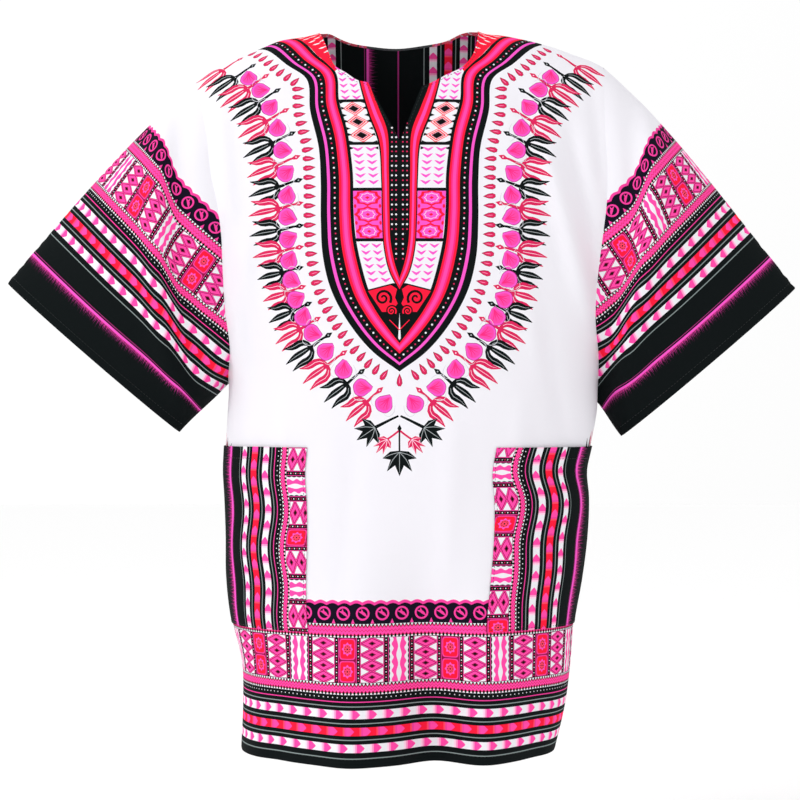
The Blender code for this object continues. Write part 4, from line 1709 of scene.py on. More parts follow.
        # Half of the fan from its foot, with tips and the notches between them: across, up
        half = np.array(
            ((0.09, -0.02), (0.40, 0.01), (0.73, 0.30), (0.38, 0.36), (0.54, 0.86), (0.19, 0.60), (0.0, 1.06))
        )
        pen.fill(np.vstack((half, (half * (-1, 1))[-2::-1])) * scale, ink)
        for across, up in ((-0.66, 0.27), (-0.49, 0.76), (0.0, 0.92), (0.49, 0.76), (0.66, 0.27)):
            line = smooth_path(((0.0, 0.04), (across * 0.55, up * 0.40 + 0.03), (across, up)), 5)
            pen.stroke(line * scale, tapered(5, 0.5, 0.6, 0.2), vein)


def new_material(name: str) -> tuple[bpy.types.Material, bpy.types.NodeTree, bpy.types.Node]:
    """Makes a material.

    Args:
        name: The material's name.

    Returns:
        The material, its tree and its shader.
    """
    material = bpy.data.materials.new(name)
    material.use_nodes = True
    return material, material.node_tree, material.node_tree.nodes["Principled BSDF"]


def linear(ink: Ink, fade: float = 0.0) -> tuple[float, float, float, float]:
    """Gives an ink's colour for a shader.

    Args:
        ink: The ink.
        fade: How far it is mixed with bare cloth, as on the reverse, from 0 to 1.

    Returns:
        Linear red, green and blue, and an alpha of 1.
    """
    shares = []
    for place in (0, 2, 4):
        value, bare = (int(code[place : place + 2], 16) / 255 for code in (ink.value, Ink.CLOTH.value))
        mixed = value * (1 - fade) + bare * fade
        shares.append(mixed / 12.92 if mixed <= 0.04045 else ((mixed + 0.055) / 1.055) ** 2.4)
    return (*shares, 1.0)


class Weave:
    """The shader node group for plain-woven cotton: crossing threads, slubs and slight crumples."""

    NAME = "Cotton weave"
    SPACING = 0.0007

    @classmethod
    def group(cls) -> bpy.types.NodeTree:
        """Gives the node group, made once.

        Returns:
            The group's tree.
        """
        tree = bpy.data.node_groups.get(cls.NAME)
        if tree is not None:
            return tree
        tree = bpy.data.node_groups.new(cls.NAME, "ShaderNodeTree")
        for name, kind, way in (
            ("Flat cut", "NodeSocketVector", "INPUT"),
            ("Thread spacing", "NodeSocketFloat", "INPUT"),
            ("Slubs", "NodeSocketFloat", "INPUT"),
            ("Crumples", "NodeSocketFloat", "INPUT"),
            ("Height", "NodeSocketFloat", "OUTPUT"),
            ("Roughness", "NodeSocketFloat", "OUTPUT"),
        ):
            tree.interface.new_socket(name=name, in_out=way, socket_type=kind)
        source = tree.nodes.new("NodeGroupInput")
        result = tree.nodes.new("NodeGroupOutput")
        threads = cls._threads(tree, source)
        slubs = cls._slubs(tree, source)
        crumples = cls._noise(tree, source, (26.0, 26.0, 1.0), 3.0)
        scaled_slubs = cls._joined(tree, "MULTIPLY", slubs, source.outputs["Slubs"])
        scaled_crumples = cls._joined(tree, "MULTIPLY", crumples, source.outputs["Crumples"])
        height = cls._joined(tree, "ADD", cls._joined(tree, "ADD", threads, scaled_slubs), scaled_crumples)
        tree.links.new(height, result.inputs["Height"])
        shade = tree.nodes.new("ShaderNodeMapRange")
        shade.inputs["To Min"].default_value = 0.93
        shade.inputs["To Max"].default_value = 0.80
        tree.links.new(slubs, shade.inputs["Value"])
        tree.links.new(shade.outputs["Result"], result.inputs["Roughness"])
        return tree

    @staticmethod
    def _joined(
        tree: bpy.types.NodeTree,
        how: str,
        first: bpy.types.NodeSocket,
        second: bpy.types.NodeSocket | float = 0.0,
    ) -> bpy.types.NodeSocket:
        """Works out a value with a math node.

        Args:
            tree: The group's tree.
            how: The math node's operation.
            first: The first value.
            second: The second value, where the operation has one.

        Returns:
            The result's socket.
        """
        node = tree.nodes.new("ShaderNodeMath")
        node.operation = how
        tree.links.new(first, node.inputs[0])
        if isinstance(second, float):
            node.inputs[1].default_value = second
        else:
            tree.links.new(second, node.inputs[1])
        return node.outputs[0]

    @classmethod
    def _threads(cls, tree: bpy.types.NodeTree, source: bpy.types.Node) -> bpy.types.NodeSocket:
        """Adds the over and under of the warp and weft.

        Args:
            tree: The group's tree.
            source: The group's inputs.

        Returns:
            The socket of their height.
        """
        turns = tree.nodes.new("ShaderNodeVectorMath")
        turns.operation = "DIVIDE"
        tree.links.new(source.outputs["Flat cut"], turns.inputs[0])
        tree.links.new(source.outputs["Thread spacing"], turns.inputs[1])
        split = tree.nodes.new("ShaderNodeSeparateXYZ")
        tree.links.new(turns.outputs[0], split.inputs[0])
        waves = []
        for axis in ("X", "Y"):
            angle = cls._joined(tree, "MULTIPLY", split.outputs[axis], math.pi)
            waves.append(cls._joined(tree, "SINE", angle))
        return cls._joined(tree, "MULTIPLY", waves[0], waves[1])

    @classmethod
    def _slubs(cls, tree: bpy.types.NodeTree, source: bpy.types.Node) -> bpy.types.NodeSocket:
        """Adds thicker stretches of thread both ways.

        Args:
            tree: The group's tree.
            source: The group's inputs.

        Returns:
            The socket of their height.
        """
        along = cls._noise(tree, source, (45.0, 1400.0, 1.0), 2.0)
        across = cls._noise(tree, source, (1400.0, 45.0, 1.0), 2.0)
        return cls._joined(tree, "MULTIPLY", cls._joined(tree, "ADD", along, across), 0.5)

    @staticmethod
    def _noise(
        tree: bpy.types.NodeTree, source: bpy.types.Node, stretch: tuple[float, float, float], detail: float
    ) -> bpy.types.NodeSocket:
        """Adds noise that is stretched over the flat cut.

        Args:
            tree: The group's tree.
            source: The group's inputs.
            stretch: Its scale each way.
            detail: How many finer layers it has.

        Returns:
            The noise's socket.
        """
        scaled = tree.nodes.new("ShaderNodeVectorMath")
        scaled.operation = "MULTIPLY"
        scaled.inputs[1].default_value = stretch
        tree.links.new(source.outputs["Flat cut"], scaled.inputs[0])
        noise = tree.nodes.new("ShaderNodeTexNoise")
        noise.inputs["Scale"].default_value = 1.0
        noise.inputs["Detail"].default_value = detail
        tree.links.new(scaled.outputs[0], noise.inputs["Vector"])
        return noise.outputs["Fac"]


@dataclass(frozen=True)
class CottonFinish:
    """Matte cotton in one ink, on its printed face or its paler reverse."""

    ink: Ink
    reverse: bool = False
    fade: float = 0.34
    slubs: float = 1.2
    crumples: float = 6.0
    bump: float = 0.35

    @property
    def name(self) -> str:
        """The material's name."""
        return f"{self.ink.name.lower()} cotton{' reverse' if self.reverse else ''}"

    def material(self) -> bpy.types.Material:
        """Gives the material, made once.

        Returns:
            The material.
        """
        material = bpy.data.materials.get(self.name)
        if material is not None:
            return material
        material, tree, shader = new_material(self.name)
        shader.inputs["Base Color"].default_value = linear(self.ink, self.fade if self.reverse else 0.0)
        shader.inputs["Specular IOR Level"].default_value = 0.08
        flat = tree.nodes.new("ShaderNodeUVMap")
        flat.uv_map = Cloth.FLAT_MAP
        weave = tree.nodes.new("ShaderNodeGroup")
        weave.node_tree = Weave.group()
        weave.inputs["Thread spacing"].default_value = Weave.SPACING
        weave.inputs["Slubs"].default_value = self.slubs
        weave.inputs["Crumples"].default_value = self.crumples
        tree.links.new(flat.outputs["UV"], weave.inputs["Flat cut"])
        bump = tree.nodes.new("ShaderNodeBump")
        bump.inputs["Strength"].default_value = self.bump
        bump.inputs["Distance"].default_value = 0.0003
        tree.links.new(weave.outputs["Height"], bump.inputs["Height"])
        tree.links.new(weave.outputs["Roughness"], shader.inputs["Roughness"])
        tree.links.new(bump.outputs["Normal"], shader.inputs["Normal"])
        return material


@dataclass
class Cloth:
    """A cut piece: its flat outline and drawing, laid on a worn form as a thin closed shell.

    Attributes:
        name: The piece's name.
        outline: The flat cut's edge, in metres.
        drawing: The print on it, in millimetres.
        surface: Gives the printed face at points of the flat cut.
        outward: Gives the way that the printed face looks.
        thickness: Gives the cloth's thickness at points of the flat cut.
        spacing: How far apart the shell's inner points are, in millimetres.
    """

    FLAT_MAP = "flat cut"

    name: str
    outline: Array
    drawing: Drawing
    surface: Layout
    outward: Layout
    thickness: Layout
    spacing: float = 7.0

    def cut(self) -> tuple[tuple[float, float], float]:
        """Gives the flat cut's width and length, and its area.

        Returns:
            Metres and square metres.
        """
        size = self.outline.max(axis=0) - self.outline.min(axis=0)
        here, following = self.outline, np.roll(self.outline, -1, axis=0)
        area = abs(float(np.sum(here[:, 0] * following[:, 1] - following[:, 0] * here[:, 1]))) / 2
        return (float(size[0]), float(size[1])), area

    def _grid(self) -> Array:
        """Gives evenly spaced points over the flat cut, except where the drawing has its own.

        Returns:
            Points in millimetres.
        """
        edge = self.outline / MM
        low, high = edge.min(axis=0), edge.max(axis=0)
        rows = []
        for index, b in enumerate(np.arange(low[1] + 1.1, high[1], self.spacing * 0.87)):
            a = np.arange(low[0] + 0.7 + self.spacing * 0.5 * (index % 2), high[0], self.spacing)
            rows.append(np.column_stack((a, np.full_like(a, b))))
        grid = np.vstack(rows)
        cell = self.spacing * 0.75
        drawn = np.vstack(self.drawing.outlines)
        taken = {tuple(spot) for spot in np.floor(drawn / cell).astype(int).tolist()}
        free = [tuple(spot) not in taken for spot in np.floor(grid / cell).astype(int).tolist()]
        return grid[free]

    def _triangles(self) -> tuple[Array, Array, list[Ink]]:
        """Cuts the drawing into triangles.

        Returns:
            The flat points in millimetres, three point numbers for each triangle, and each one's ink.
        """
        edge = self.outline / MM
        loops = [edge, *self.drawing.outlines]
        edges, start = [], 0
        for loop in loops:
            numbers = np.arange(len(loop))
            edges.append(start + np.column_stack((numbers, np.roll(numbers, -1))))
            start += len(loop)
        points = np.vstack((*loops, self._grid()))
        found = delaunay_2d_cdt(
            [Vector(point) for point in points], np.vstack(edges).tolist(), [], 0, 1e-4, False
        )
        flat, triangles = np.array(found[0]), np.array(found[2])
        middles = flat[triangles].mean(axis=1)
        kept = winds_round(edge, middles)
        triangles, middles = triangles[kept], middles[kept]
        used, numbers = np.unique(triangles, return_inverse=True)
        return flat[used], numbers.reshape(triangles.shape), self.drawing.inks_at(middles)

    def _rim(self, triangles: Array) -> Array:
        """Gives the edges that only one triangle has.

        Args:
            triangles: Three point numbers for each.

        Returns:
            Two point numbers for each edge.
        """
        edges = np.vstack((triangles[:, (0, 1)], triangles[:, (1, 2)], triangles[:, (2, 0)]))
        keys = np.sort(edges, axis=1)
        _, first, counts = np.unique(keys, axis=0, return_index=True, return_counts=True)
        return edges[first[counts == 1]]

    def build(self) -> bpy.types.Object:
        """Makes the piece.

        Returns:
            The piece.
        """
        flat, triangles, inks = self._triangles()
        points = flat * MM
        outer, normals = self.surface(points), self.outward(points)
        corners = outer[triangles]
        facing = np.cross(corners[:, 1] - corners[:, 0], corners[:, 2] - corners[:, 0])
        if float(np.sum(facing * normals[triangles[:, 0]])) < 0:
            triangles = triangles[:, ::-1]
        inner = outer - normals * self.thickness(points)[:, None]
        count = len(points)
        rim = self._rim(triangles)
        walls = np.column_stack((rim[:, 1], rim[:, 0], rim[:, 0] + count, rim[:, 1] + count))
        mesh = bpy.data.meshes.new(self.name)
        faces = [*triangles.tolist(), *(triangles[:, ::-1] + count).tolist(), *walls.tolist()]
        mesh.from_pydata(np.vstack((outer, inner)).tolist(), [], faces)
        used = sorted({ink.name for ink in inks} | {Ink.CLOTH.name, Ink.BLACK.name})
        for reverse in (False, True):
            for name in used:
                mesh.materials.append(CottonFinish(Ink[name], reverse).material())
        slots = np.array([used.index(ink.name) for ink in inks])
        owner = {tuple(sorted(edge)): slot for edge, slot in self._edge_slots(triangles, slots, rim)}
        rim_slots = np.array([owner[tuple(sorted(edge))] for edge in rim.tolist()])
        mesh.polygons.foreach_set("material_index", np.concatenate((slots, slots + len(used), rim_slots)))
        mesh.polygons.foreach_set("use_smooth", np.ones(len(faces), bool))
        layer = mesh.uv_layers.new(name=self.FLAT_MAP)
        loops = np.empty(len(mesh.loops), int)
        mesh.loops.foreach_get("vertex_index", loops)
        layer.data.foreach_set("uv", points[loops % count].ravel())
        both = np.vstack((normals, -normals))
        mesh.normals_split_custom_set_from_vertices(both.tolist())
        mesh.update()
        obj = linked(self.name, mesh)
        LOG.info("%s: %d triangles", self.name, 2 * len(triangles) + 2 * len(rim))
        return obj

    @staticmethod
    def _edge_slots(triangles: Array, slots: Array, rim: Array) -> list[tuple[tuple[int, int], int]]:
        """Gives the ink slot beside each rim edge.

        Args:
            triangles: Three point numbers for each.
            slots: Each one's ink slot.
            rim: The rim's edges.

        Returns:
            Each edge with its slot.
        """
        wanted = {tuple(sorted(edge)) for edge in rim.tolist()}
        found = []
        for corners, slot in zip(triangles.tolist(), slots.tolist()):
            for edge in ((corners[0], corners[1]), (corners[1], corners[2]), (corners[2], corners[0])):
                if tuple(sorted(edge)) in wanted:
                    found.append((edge, slot))
        return found


@dataclass(frozen=True)
class Thickness:
    """How thick a cloth is at points of its flat cut, with a turned hem at its lower edge."""

    plain: float = 0.0011
    turning: float = 0.0009
    hem_level: float = -2.0
    hem_depth: float = 0.010

    def __call__(self, flat: Array) -> Array:
        """Gives the thickness."""
        fold = self.hem_level + self.hem_depth
        return self.plain + self.turning * (1 - smooth_step(fold - 0.0008, fold + 0.0008, flat[:, 1]))


@dataclass
class PocketForm:
    """A patch pocket, laid on the front from a side seam inward."""

    front: PanelForm
    side: Side
    bottom_z: float = -0.621
    top_z: float = -0.437
    inner_left: float = 0.2348
    inner_right: float = 0.2693
    gap: float = 0.0003
    wall: float = 0.0010
    bulge: float = 0.0026
    # Share of the way in from the side seam, for each level of the border: level in millimetres, share
    levels: tuple[tuple[float, float], ...] = (
        (-70.0, -0.10), (-50.0, 0.0), (-16.0, 0.368), (22.0, 0.516), (74.0, 0.819), (86.0, 0.871),
        (108.0, 1.013), (140.0, 1.2),
    )

    def __post_init__(self) -> None:
        """Measures the pocket's side edges."""
        self.rows = np.linspace(self.bottom_z - 0.01, self.top_z + 0.01, 40)
        self.outer, self.inner = (
            self.front.flat(*self._places(self.rows, share).T)[:, 0] for share in (0.0, 1.0)
        )

    def _places(self, z: Array, share: float) -> Array:
        """Gives x and z on the pocket, from its outer edge at share 0 to its inner edge at 1.

        Args:
            z: The levels.
            share: The share of the way in.

        Returns:
            Each place's x and z.
        """
        left, right = np.moveaxis(track(SIDES, z), -1, 0)[:2]
        reach = (right - left) * (self.inner_left if self.side is Side.LEFT else self.inner_right) * share
        return np.column_stack((left + reach if self.side is Side.LEFT else right - reach, z))

    def across(self, flat: Array) -> Array:
        """Gives the share of the way in from the side seam."""
        outer = np.interp(flat[:, 1], self.rows, self.outer)
        return (flat[:, 0] - outer) / (np.interp(flat[:, 1], self.rows, self.inner) - outer)

    def at(self, share: Array | float, b: Array | float) -> Array:
        """Gives the flat point at this share of the way in and this level.

        Args:
            share: Shares of the way in.
            b: Levels in the flat cut.

        Returns:
            Each point's a and b.
        """
        share, b = np.broadcast_arrays(np.asarray(share, float), np.asarray(b, float))
        outer = np.interp(b, self.rows, self.outer)
        return np.column_stack((outer + (np.interp(b, self.rows, self.inner) - outer) * share, b))

    def outline(self) -> Array:
        """Gives the flat cut's edge.

        Returns:
            The corners' a and b.
        """
        outer = 0.004
        share = np.linspace(outer, 1.0, 26)
        b = np.linspace(self.bottom_z, self.top_z, 40)
        return np.vstack(
            (
                self.at(share, self.bottom_z)[:-1],
                self.at(1.0, b)[:-1],
                self.at(share[::-1], self.top_z)[:-1],
                self.at(outer, b[::-1])[:-1],
            )
        )

    def surface(self, flat: Array) -> Array:
        """Gives the pocket's printed face.

        Args:
            flat: Each point's a and b.

        Returns:
            Points in metres.
        """
        across = np.clip(self.across(flat), 0.0, 1.0)
        up = np.clip((flat[:, 1] - self.bottom_z) / (self.top_z - self.bottom_z), 0.0, 1.0)
        lift = self.gap + self.wall + self.bulge * np.sin(math.pi / 2 * up) * np.sin(math.pi * across)
        return self.front.surface(flat) + self.front.outward(flat) * lift[:, None]

    def print_layout(self, points: Array) -> Array:
        """Lays the border's bands upright: s up the pocket, and c inward from the side seam.

        Args:
            points: Each s and c.

        Returns:
            Points of the front's flat cut.
        """
        rows = np.asarray(self.levels)
        share = np.interp(points[:, 1], rows[:, 0], rows[:, 1])
        s = points[:, 0]
        wave = 0.009 * np.sin(s / 10.6 + self.side.value) + 0.012 * np.sin(s / 17.3 + 2 * self.side.value)
        share = share + wave * np.clip(3 * share, 0.0, 1.0)
        return self.at(share, points[:, 0] * MM) / MM


class FacingForm:
    """The border cloth that faces the inside of the back's neck."""

    # Foot of the facing: x, z
    FOOT = ((-0.1010, -0.1285), (-0.0600, -0.1348), (0.0000, -0.1398), (0.0500, -0.1380), (0.1050, -0.1325))
    DEPTH = 0.0011 + 0.0003 + 0.0009
    MIDDLE_A = -19.9
    HALF_GAP = 33.0
    INSET = 0.0015

    def __init__(self, back: PanelForm) -> None:
        """Takes the back's form."""
        self.back = back

    def outline(self) -> Array:
        """Gives the flat cut's edge.

        Returns:
            The corners' a and b.
        """
        foot = track(chorded(self.FOOT), np.linspace(0.0, 1.0, 30))
        steps = np.linspace(0.0, 1.0, 16)
        right = track(chorded(((0.1050, -0.1325), (0.0925, -0.0300), (0.0812, -0.0040))), steps)
        neck = track(chorded(NECK_BACK), np.linspace(1.0, 0.0, 40)) - (0.0, self.INSET)
        left = track(chorded(((-0.0860, -0.0060), (-0.0965, -0.0500), (-0.1010, -0.1285))), steps)
        places = np.vstack((foot[:-1], right[:-1], neck, left[1:-1]))
        return self.back.flat(places[:, 0], places[:, 1])

    def surface(self, flat: Array) -> Array:
        """Gives the facing's printed face, which looks into the shirt."""
        return self.back.surface(flat) - self.back.outward(flat) * self.DEPTH

    def outward(self, flat: Array) -> Array:
        """Gives the way that the printed face looks."""
        return -self.back.outward(flat)

    def print_layout(self, way: float) -> Layout:
        """Gives the layout of the bands on one side: s up the facing, and c away from its middle.

        Args:
            way: -1 for the left side and 1 for the right.

        Returns:
            The layout.
        """

        def layout(points: Array) -> Array:
            """Lays out s and c."""
            return np.column_stack((self.MIDDLE_A + way * (self.HALF_GAP + points[:, 1]), points[:, 0]))

        return layout


@dataclass(frozen=True)
class ThreadFinish:
    """Sewing thread with a twist."""

    ink: Ink

    def material(self) -> bpy.types.Material:
        """Gives the material, made once.

        Returns:
            The material.
        """
        name = f"{self.ink.name.lower()} thread"
        material = bpy.data.materials.get(name)
        if material is not None:
            return material
        material, tree, shader = new_material(name)
        shader.inputs["Base Color"].default_value = linear(self.ink)
        shader.inputs["Roughness"].default_value = 0.6
        place = tree.nodes.new("ShaderNodeTexCoord")
        twist = tree.nodes.new("ShaderNodeTexWave")
        twist.inputs["Scale"].default_value = 900.0
        bump = tree.nodes.new("ShaderNodeBump")
        bump.inputs["Strength"].default_value = 0.5
        bump.inputs["Distance"].default_value = 0.0001
        tree.links.new(place.outputs["Object"], twist.inputs["Vector"])
        tree.links.new(twist.outputs["Color"], bump.inputs["Height"])
        tree.links.new(bump.outputs["Normal"], shader.inputs["Normal"])
        return material


@dataclass
class Stitching:
    """Rows of stitches along paths on a cloth's printed face."""

    name: str
    paths: list[Array]
    surface: Layout
    outward: Layout
    ink: Ink = Ink.BLACK
    length: float = 0.0027
    gap: float = 0.0011
    width: float = 0.0005
    height: float = 0.00022

    def build(self) -> bpy.types.Object:
        """Makes the stitches as one mesh.

        Returns:
            The piece.
        """
        shares = np.array((0.0, 0.2, 0.8, 1.0))
        spots = []
        for path in self.paths:
            along = lengths_along(path)
            starts = np.arange(self.gap, along[-1] - self.length, self.length + self.gap)
            places = (starts[:, None] + self.length * shares).ravel()
            spots.append(np.column_stack([np.interp(places, along, path[:, axis]) for axis in (0, 1)]))
        flat = np.vstack(spots)
        line, normal = (item.reshape(-1, 4, 3) for item in (self.surface(flat), self.outward(flat)))
        way = line[:, 3] - line[:, 0]
        way = way / np.maximum(np.linalg.norm(way, axis=1, keepdims=True), 1e-9)
        aside = np.cross(way, normal[:, 1]) * self.width / 2
        top = line + normal * self.height
        rows = [line[:, 0]]
        for index in (1, 2):
            rows += [line[:, index] - aside, top[:, index], line[:, index] + aside]
        rows.append(line[:, 3])
        points = np.stack(rows, axis=1).reshape(-1, 3)
        faces = []
        for first in range(0, len(points), len(rows)):
            faces += [
                (first, first + 2, first + 1), (first, first + 3, first + 2),
                (first + 1, first + 2, first + 5, first + 4), (first + 2, first + 3, first + 6, first + 5),
                (first + 4, first + 5, first + 7), (first + 5, first + 6, first + 7),
            ]
        mesh = bpy.data.meshes.new(self.name)
        mesh.from_pydata(points.tolist(), [], faces)
        mesh.materials.append(ThreadFinish(self.ink).material())
        obj = linked(self.name, mesh)
        LOG.info("%s: %d stitches", self.name, len(faces) // 6)
        return obj


class Shirt:
    """The whole shirt: its cloth pieces and their stitching."""

    # Sprigs of which the tips show above the pockets: a, b in millimetres, ink
    SIDE_SPRIGS = (
        (-228.0, -480.0, Ink.CRIMSON), (-215.0, -485.0, Ink.BLACK),
        (241.0, -476.0, Ink.CRIMSON), (229.0, -483.0, Ink.BLACK),
    )
    # Where the border's c is 0 on the panels and on the sleeves, in millimetres
    BODY_HEM = -755.5
    CUFF_HEM = 57.5
    # How far the stitches lie in from the hems and from the neck's edge, and half of the cuff's round
    HEM_STITCH = 0.0085
    NECK_STITCH = 0.0022
    CUFF_HALF = 0.255

    def __init__(self) -> None:
        """Works out the worn forms."""
        self.front = PanelForm(True)
        self.back = PanelForm(False)
        self.sleeves = {side: SleeveForm(side, self.front, self.back) for side in Side}
        self.pockets = {side: PocketForm(self.front, side) for side in Side}
        self.facing = FacingForm(self.back)

    def build(self) -> None:
        """Makes every piece, in the order of sewing."""
        front = self.add_panel("front_cloth", "front", self.front)
        back = self.add_panel("back_cloth", "back", self.back)
        for side in Side:
            self.add_sleeve(side, front)
            self.add_pocket(side, front)
        self.add_facing(back)
        self.add_stitching()

    def dress(
        self, cloth: Cloth, node: str, rests_on: bpy.types.Object | None = None
    ) -> bpy.types.Object:
        """Builds a cloth in the place of its node.

        Args:
            cloth: The cut piece.
            node: The frame's node that it stands for.
            rests_on: The piece that it is sewn to.

        Returns:
            The piece.
        """
        obj = cloth.build()
        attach(obj, "root")
        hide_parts(node)
        flat, area = cloth.cut()
        () if rests_on is None else (rests_on.name,)
        return obj

    def add_panel(self, name: str, node: str, form: PanelForm) -> bpy.types.Object:
        """Makes the front or the back.

        Args:
            name: The piece's name.
            node: The node that it stands for.
            form: Its worn form.

        Returns:
            The piece.
        """
        drawing = Drawing()
        for a, b, ink in self.SIDE_SPRIGS:
            Sprig().draw(Pen(drawing, Placing(a, b)), ink)
        Shield().draw(drawing)
        border = Border(phase=-2.0)

        def hem(points: Array) -> Array:
            """Lays the border up from the hem."""
            return points + (0.0, self.BODY_HEM)

        border.draw(Stretch(drawing, hem, -300.0, 300.0), -4.0, border.top)
        thickness = Thickness(hem_level=form.hem_z)
        cloth = Cloth(name, form.outline(), drawing, form.surface, form.outward, thickness)
        return self.dress(cloth, node)

    def add_sleeve(self, side: Side, front: bpy.types.Object) -> None:
        """Makes a sleeve.

        Args:
            side: The side.
            front: The piece that it is sewn to.
        """
        form = self.sleeves[side]
        drawing = Drawing()
        border = Border(phase=39.5 if side is Side.LEFT else 12.0)

        def cuff(points: Array) -> Array:
            """Lays the border up from the cuff."""
            return points + (0.0, self.CUFF_HEM)

        border.draw(Stretch(drawing, cuff, -330.0, 330.0), -62.0, border.top)
        name = side.name.lower()
        cloth = Cloth(
            f"{name}_sleeve_cloth", form.outline(), drawing, form.surface, form.outward,
            Thickness(hem_level=0.0),
        )
        self.dress(cloth, f"sleeve_{name}", front)

    def add_pocket(self, side: Side, front: bpy.types.Object) -> None:
        """Makes a pocket.

        Args:
            side: The side.
            front: The piece that it is sewn to.
        """
        form = self.pockets[side]
        drawing = Drawing()
        border = Border(phase=-476.0 if side is Side.LEFT else -462.0)
        border.draw(Stretch(drawing, form.print_layout, -640.0, -420.0), -68.0, 126.4)
        name = side.name.lower()
        cloth = Cloth(
            f"{name}_pocket_cloth", form.outline(), drawing, form.surface, self.front.outward,
            Thickness(plain=form.wall),
        )
        self.dress(cloth, f"pocket_{name}", front)

    def add_facing(self, back: bpy.types.Object) -> None:
        """Makes the neck facing.

        Args:
            back: The piece that it is sewn to.
        """
        form = self.facing
        drawing = Drawing()
        for way in (-1.0, 1.0):
            border = Border(phase=-30.0, fringed=way < 0)
            border.draw(Stretch(drawing, form.print_layout(way), -150.0, 60.0), -form.HALF_GAP, 100.0)
        cloth = Cloth(
            "neck_facing_cloth", form.outline(), drawing, form.surface, form.outward, Thickness(plain=0.0009)
        )
        self.dress(cloth, "neck_facing", back)

    def add_stitching(self) -> None:
        """Sews the hems, the neck and the pockets."""
        for name, form in (("front_hem_stitching", self.front), ("back_hem_stitching", self.back)):
            hem = form.outline()[2 : form.hem_points - 2] + (0.0, self.HEM_STITCH)
            self.sew(Stitching(name, [hem], form.surface, form.outward), "printed_cotton")
        shoulder = self.front.shoulder_points
        edge = self.front.flat(*self.front.top_places()[shoulder:-shoulder].T)
        middle = len(edge) // 2
        paths = [beside(half, -self.NECK_STITCH) for half in (edge[: middle - 1], edge[middle + 2 :])]
        stitching = Stitching("neck_stitching", paths, self.front.surface, self.front.outward, Ink.BLACK)
        self.sew(stitching, "printed_cotton")
        for side in Side:
            name = side.name.lower()
            sleeve = self.sleeves[side]
            around = np.linspace(-self.CUFF_HALF, self.CUFF_HALF, 200)
            cuff = np.column_stack((around, np.full_like(around, self.HEM_STITCH)))
            stitching = Stitching(f"{name}_cuff_stitching", [cuff], sleeve.surface, sleeve.outward)
            self.sew(stitching, "printed_cotton")
            pocket = self.pockets[side]
            inner, outer = 0.985, 0.02
            b = np.linspace(pocket.bottom_z + 0.002, pocket.top_z - 0.001, 60)
            paths = [
                pocket.at(inner, b),
                pocket.at(np.linspace(inner, outer, 60), pocket.bottom_z + 0.002),
                pocket.at(np.linspace(inner, outer, 60), pocket.top_z - 0.012),
            ]
            stitching = Stitching(f"{name}_pocket_stitching", paths, pocket.surface, self.front.outward)
            self.sew(stitching, "border_cotton")

    @staticmethod
    def sew(stitching: Stitching, slot: str) -> None:
        """Adds a row of stitches to the shirt.

        Args:
            stitching: The stitches.
            slot: Their material slot; not used.
        """
        obj = stitching.build()
        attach(obj, "root")


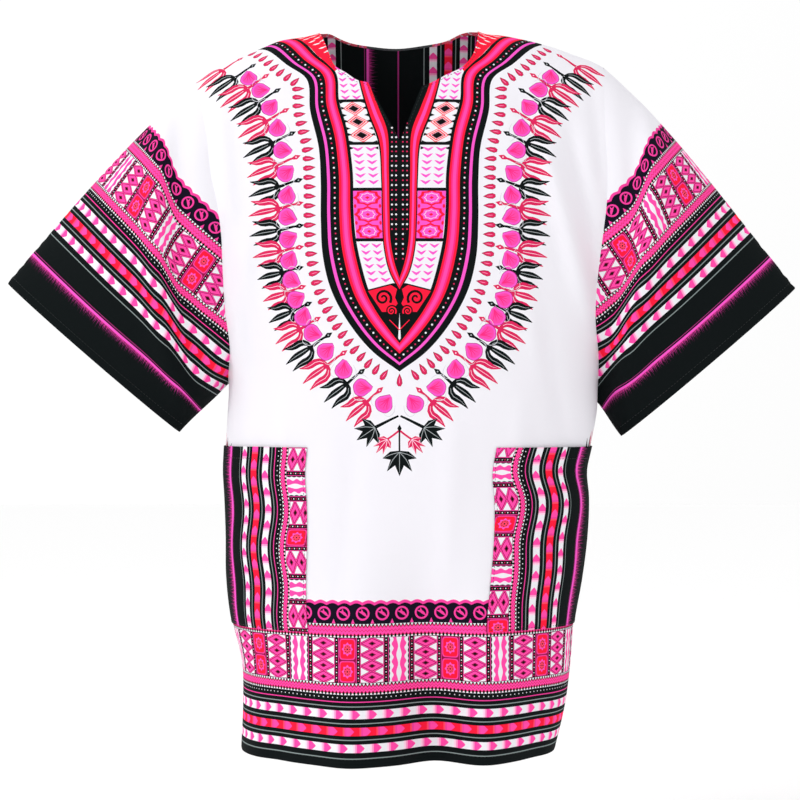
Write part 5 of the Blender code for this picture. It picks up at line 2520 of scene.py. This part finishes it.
@dataclass(frozen=True)
class Studio:
    """A pale floor, soft lamps and the photo's camera."""

    floor_z: float = -0.90
    floor_size: float = 16.0
    camera_place: tuple[float, float, float] = (-0.001, -2.2, -0.389)
    lens: float = 93.8
    # Lamps: name, x, y, z, size, watts
    lamps: tuple[tuple[str, float, float, float, float, float], ...] = (
        ("key_lamp", -2.6, -1.5, 1.2, 1.0, 27.0),
        ("fill_lamp", 2.2, -2.6, 0.2, 2.2, 7.0),
    )
    target: tuple[float, float, float] = (0.0, 0.0, -0.38)
    # The room's glow, and the way that it falls off
    glow: float = 0.97
    dim_side: tuple[float, float, float] = (0.14, -0.04, -0.06)

    def build(self) -> None:
        """Makes the floor, lamps, world and camera."""
        bpy.ops.mesh.primitive_plane_add(size=self.floor_size, location=(0.0, 0.0, self.floor_z))
        floor = bpy.context.object
        floor.name = "studio_floor"
        material, _, shader = new_material("pale floor")
        shader.inputs["Base Color"].default_value = (0.97, 0.97, 0.97, 1.0)
        shader.inputs["Roughness"].default_value = 0.9
        floor.data.materials.append(material)
        for name, x, y, z, size, watts in self.lamps:
            lamp = bpy.data.lights.new(name, "AREA")
            lamp.shape = "DISK"
            lamp.size = size
            lamp.energy = watts
            obj = linked(name, lamp)
            obj.location = (x, y, z)
            aim = Vector(self.target) - obj.location
            obj.rotation_euler = aim.to_track_quat("-Z", "Y").to_euler()
        self.add_glow()
        self.add_camera()

    def add_glow(self) -> None:
        """Adds the room's white glow, which is weaker from the dim side."""
        world = bpy.data.worlds.new("white studio")
        world.use_nodes = True
        tree = world.node_tree
        tree.nodes["Background"].inputs["Color"].default_value = (1.0, 1.0, 1.0, 1.0)
        place = tree.nodes.new("ShaderNodeTexCoord")
        toward = tree.nodes.new("ShaderNodeVectorMath")
        toward.operation = "DOT_PRODUCT"
        toward.inputs[1].default_value = self.dim_side
        glow = tree.nodes.new("ShaderNodeMath")
        glow.operation = "SUBTRACT"
        glow.inputs[0].default_value = self.glow
        tree.links.new(place.outputs["Generated"], toward.inputs[0])
        tree.links.new(toward.outputs["Value"], glow.inputs[1])
        tree.links.new(glow.outputs[0], tree.nodes["Background"].inputs["Strength"])
        bpy.context.scene.world = world
        bpy.context.scene.view_settings.view_transform = "Standard"

    def add_camera(self) -> None:
        """Adds the camera, level and square to the shirt's front."""
        data = bpy.data.cameras.new("photo_camera")
        data.sensor_width = 36.0
        data.lens = self.lens
        data.dof.use_dof = False
        camera = linked("photo_camera", data)
        camera.location = self.camera_place
        camera.rotation_euler = (math.pi / 2, 0.0, 0.0)
        bpy.context.scene.camera = camera


def main() -> None:
    """Dresses the frame as the photographed shirt."""
    logging.basicConfig(level=logging.INFO, format="%(name)s: %(message)s", stream=sys.stdout)
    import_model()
    Shirt().build()
    Studio().build()


if __name__ == "__main__":
    main()
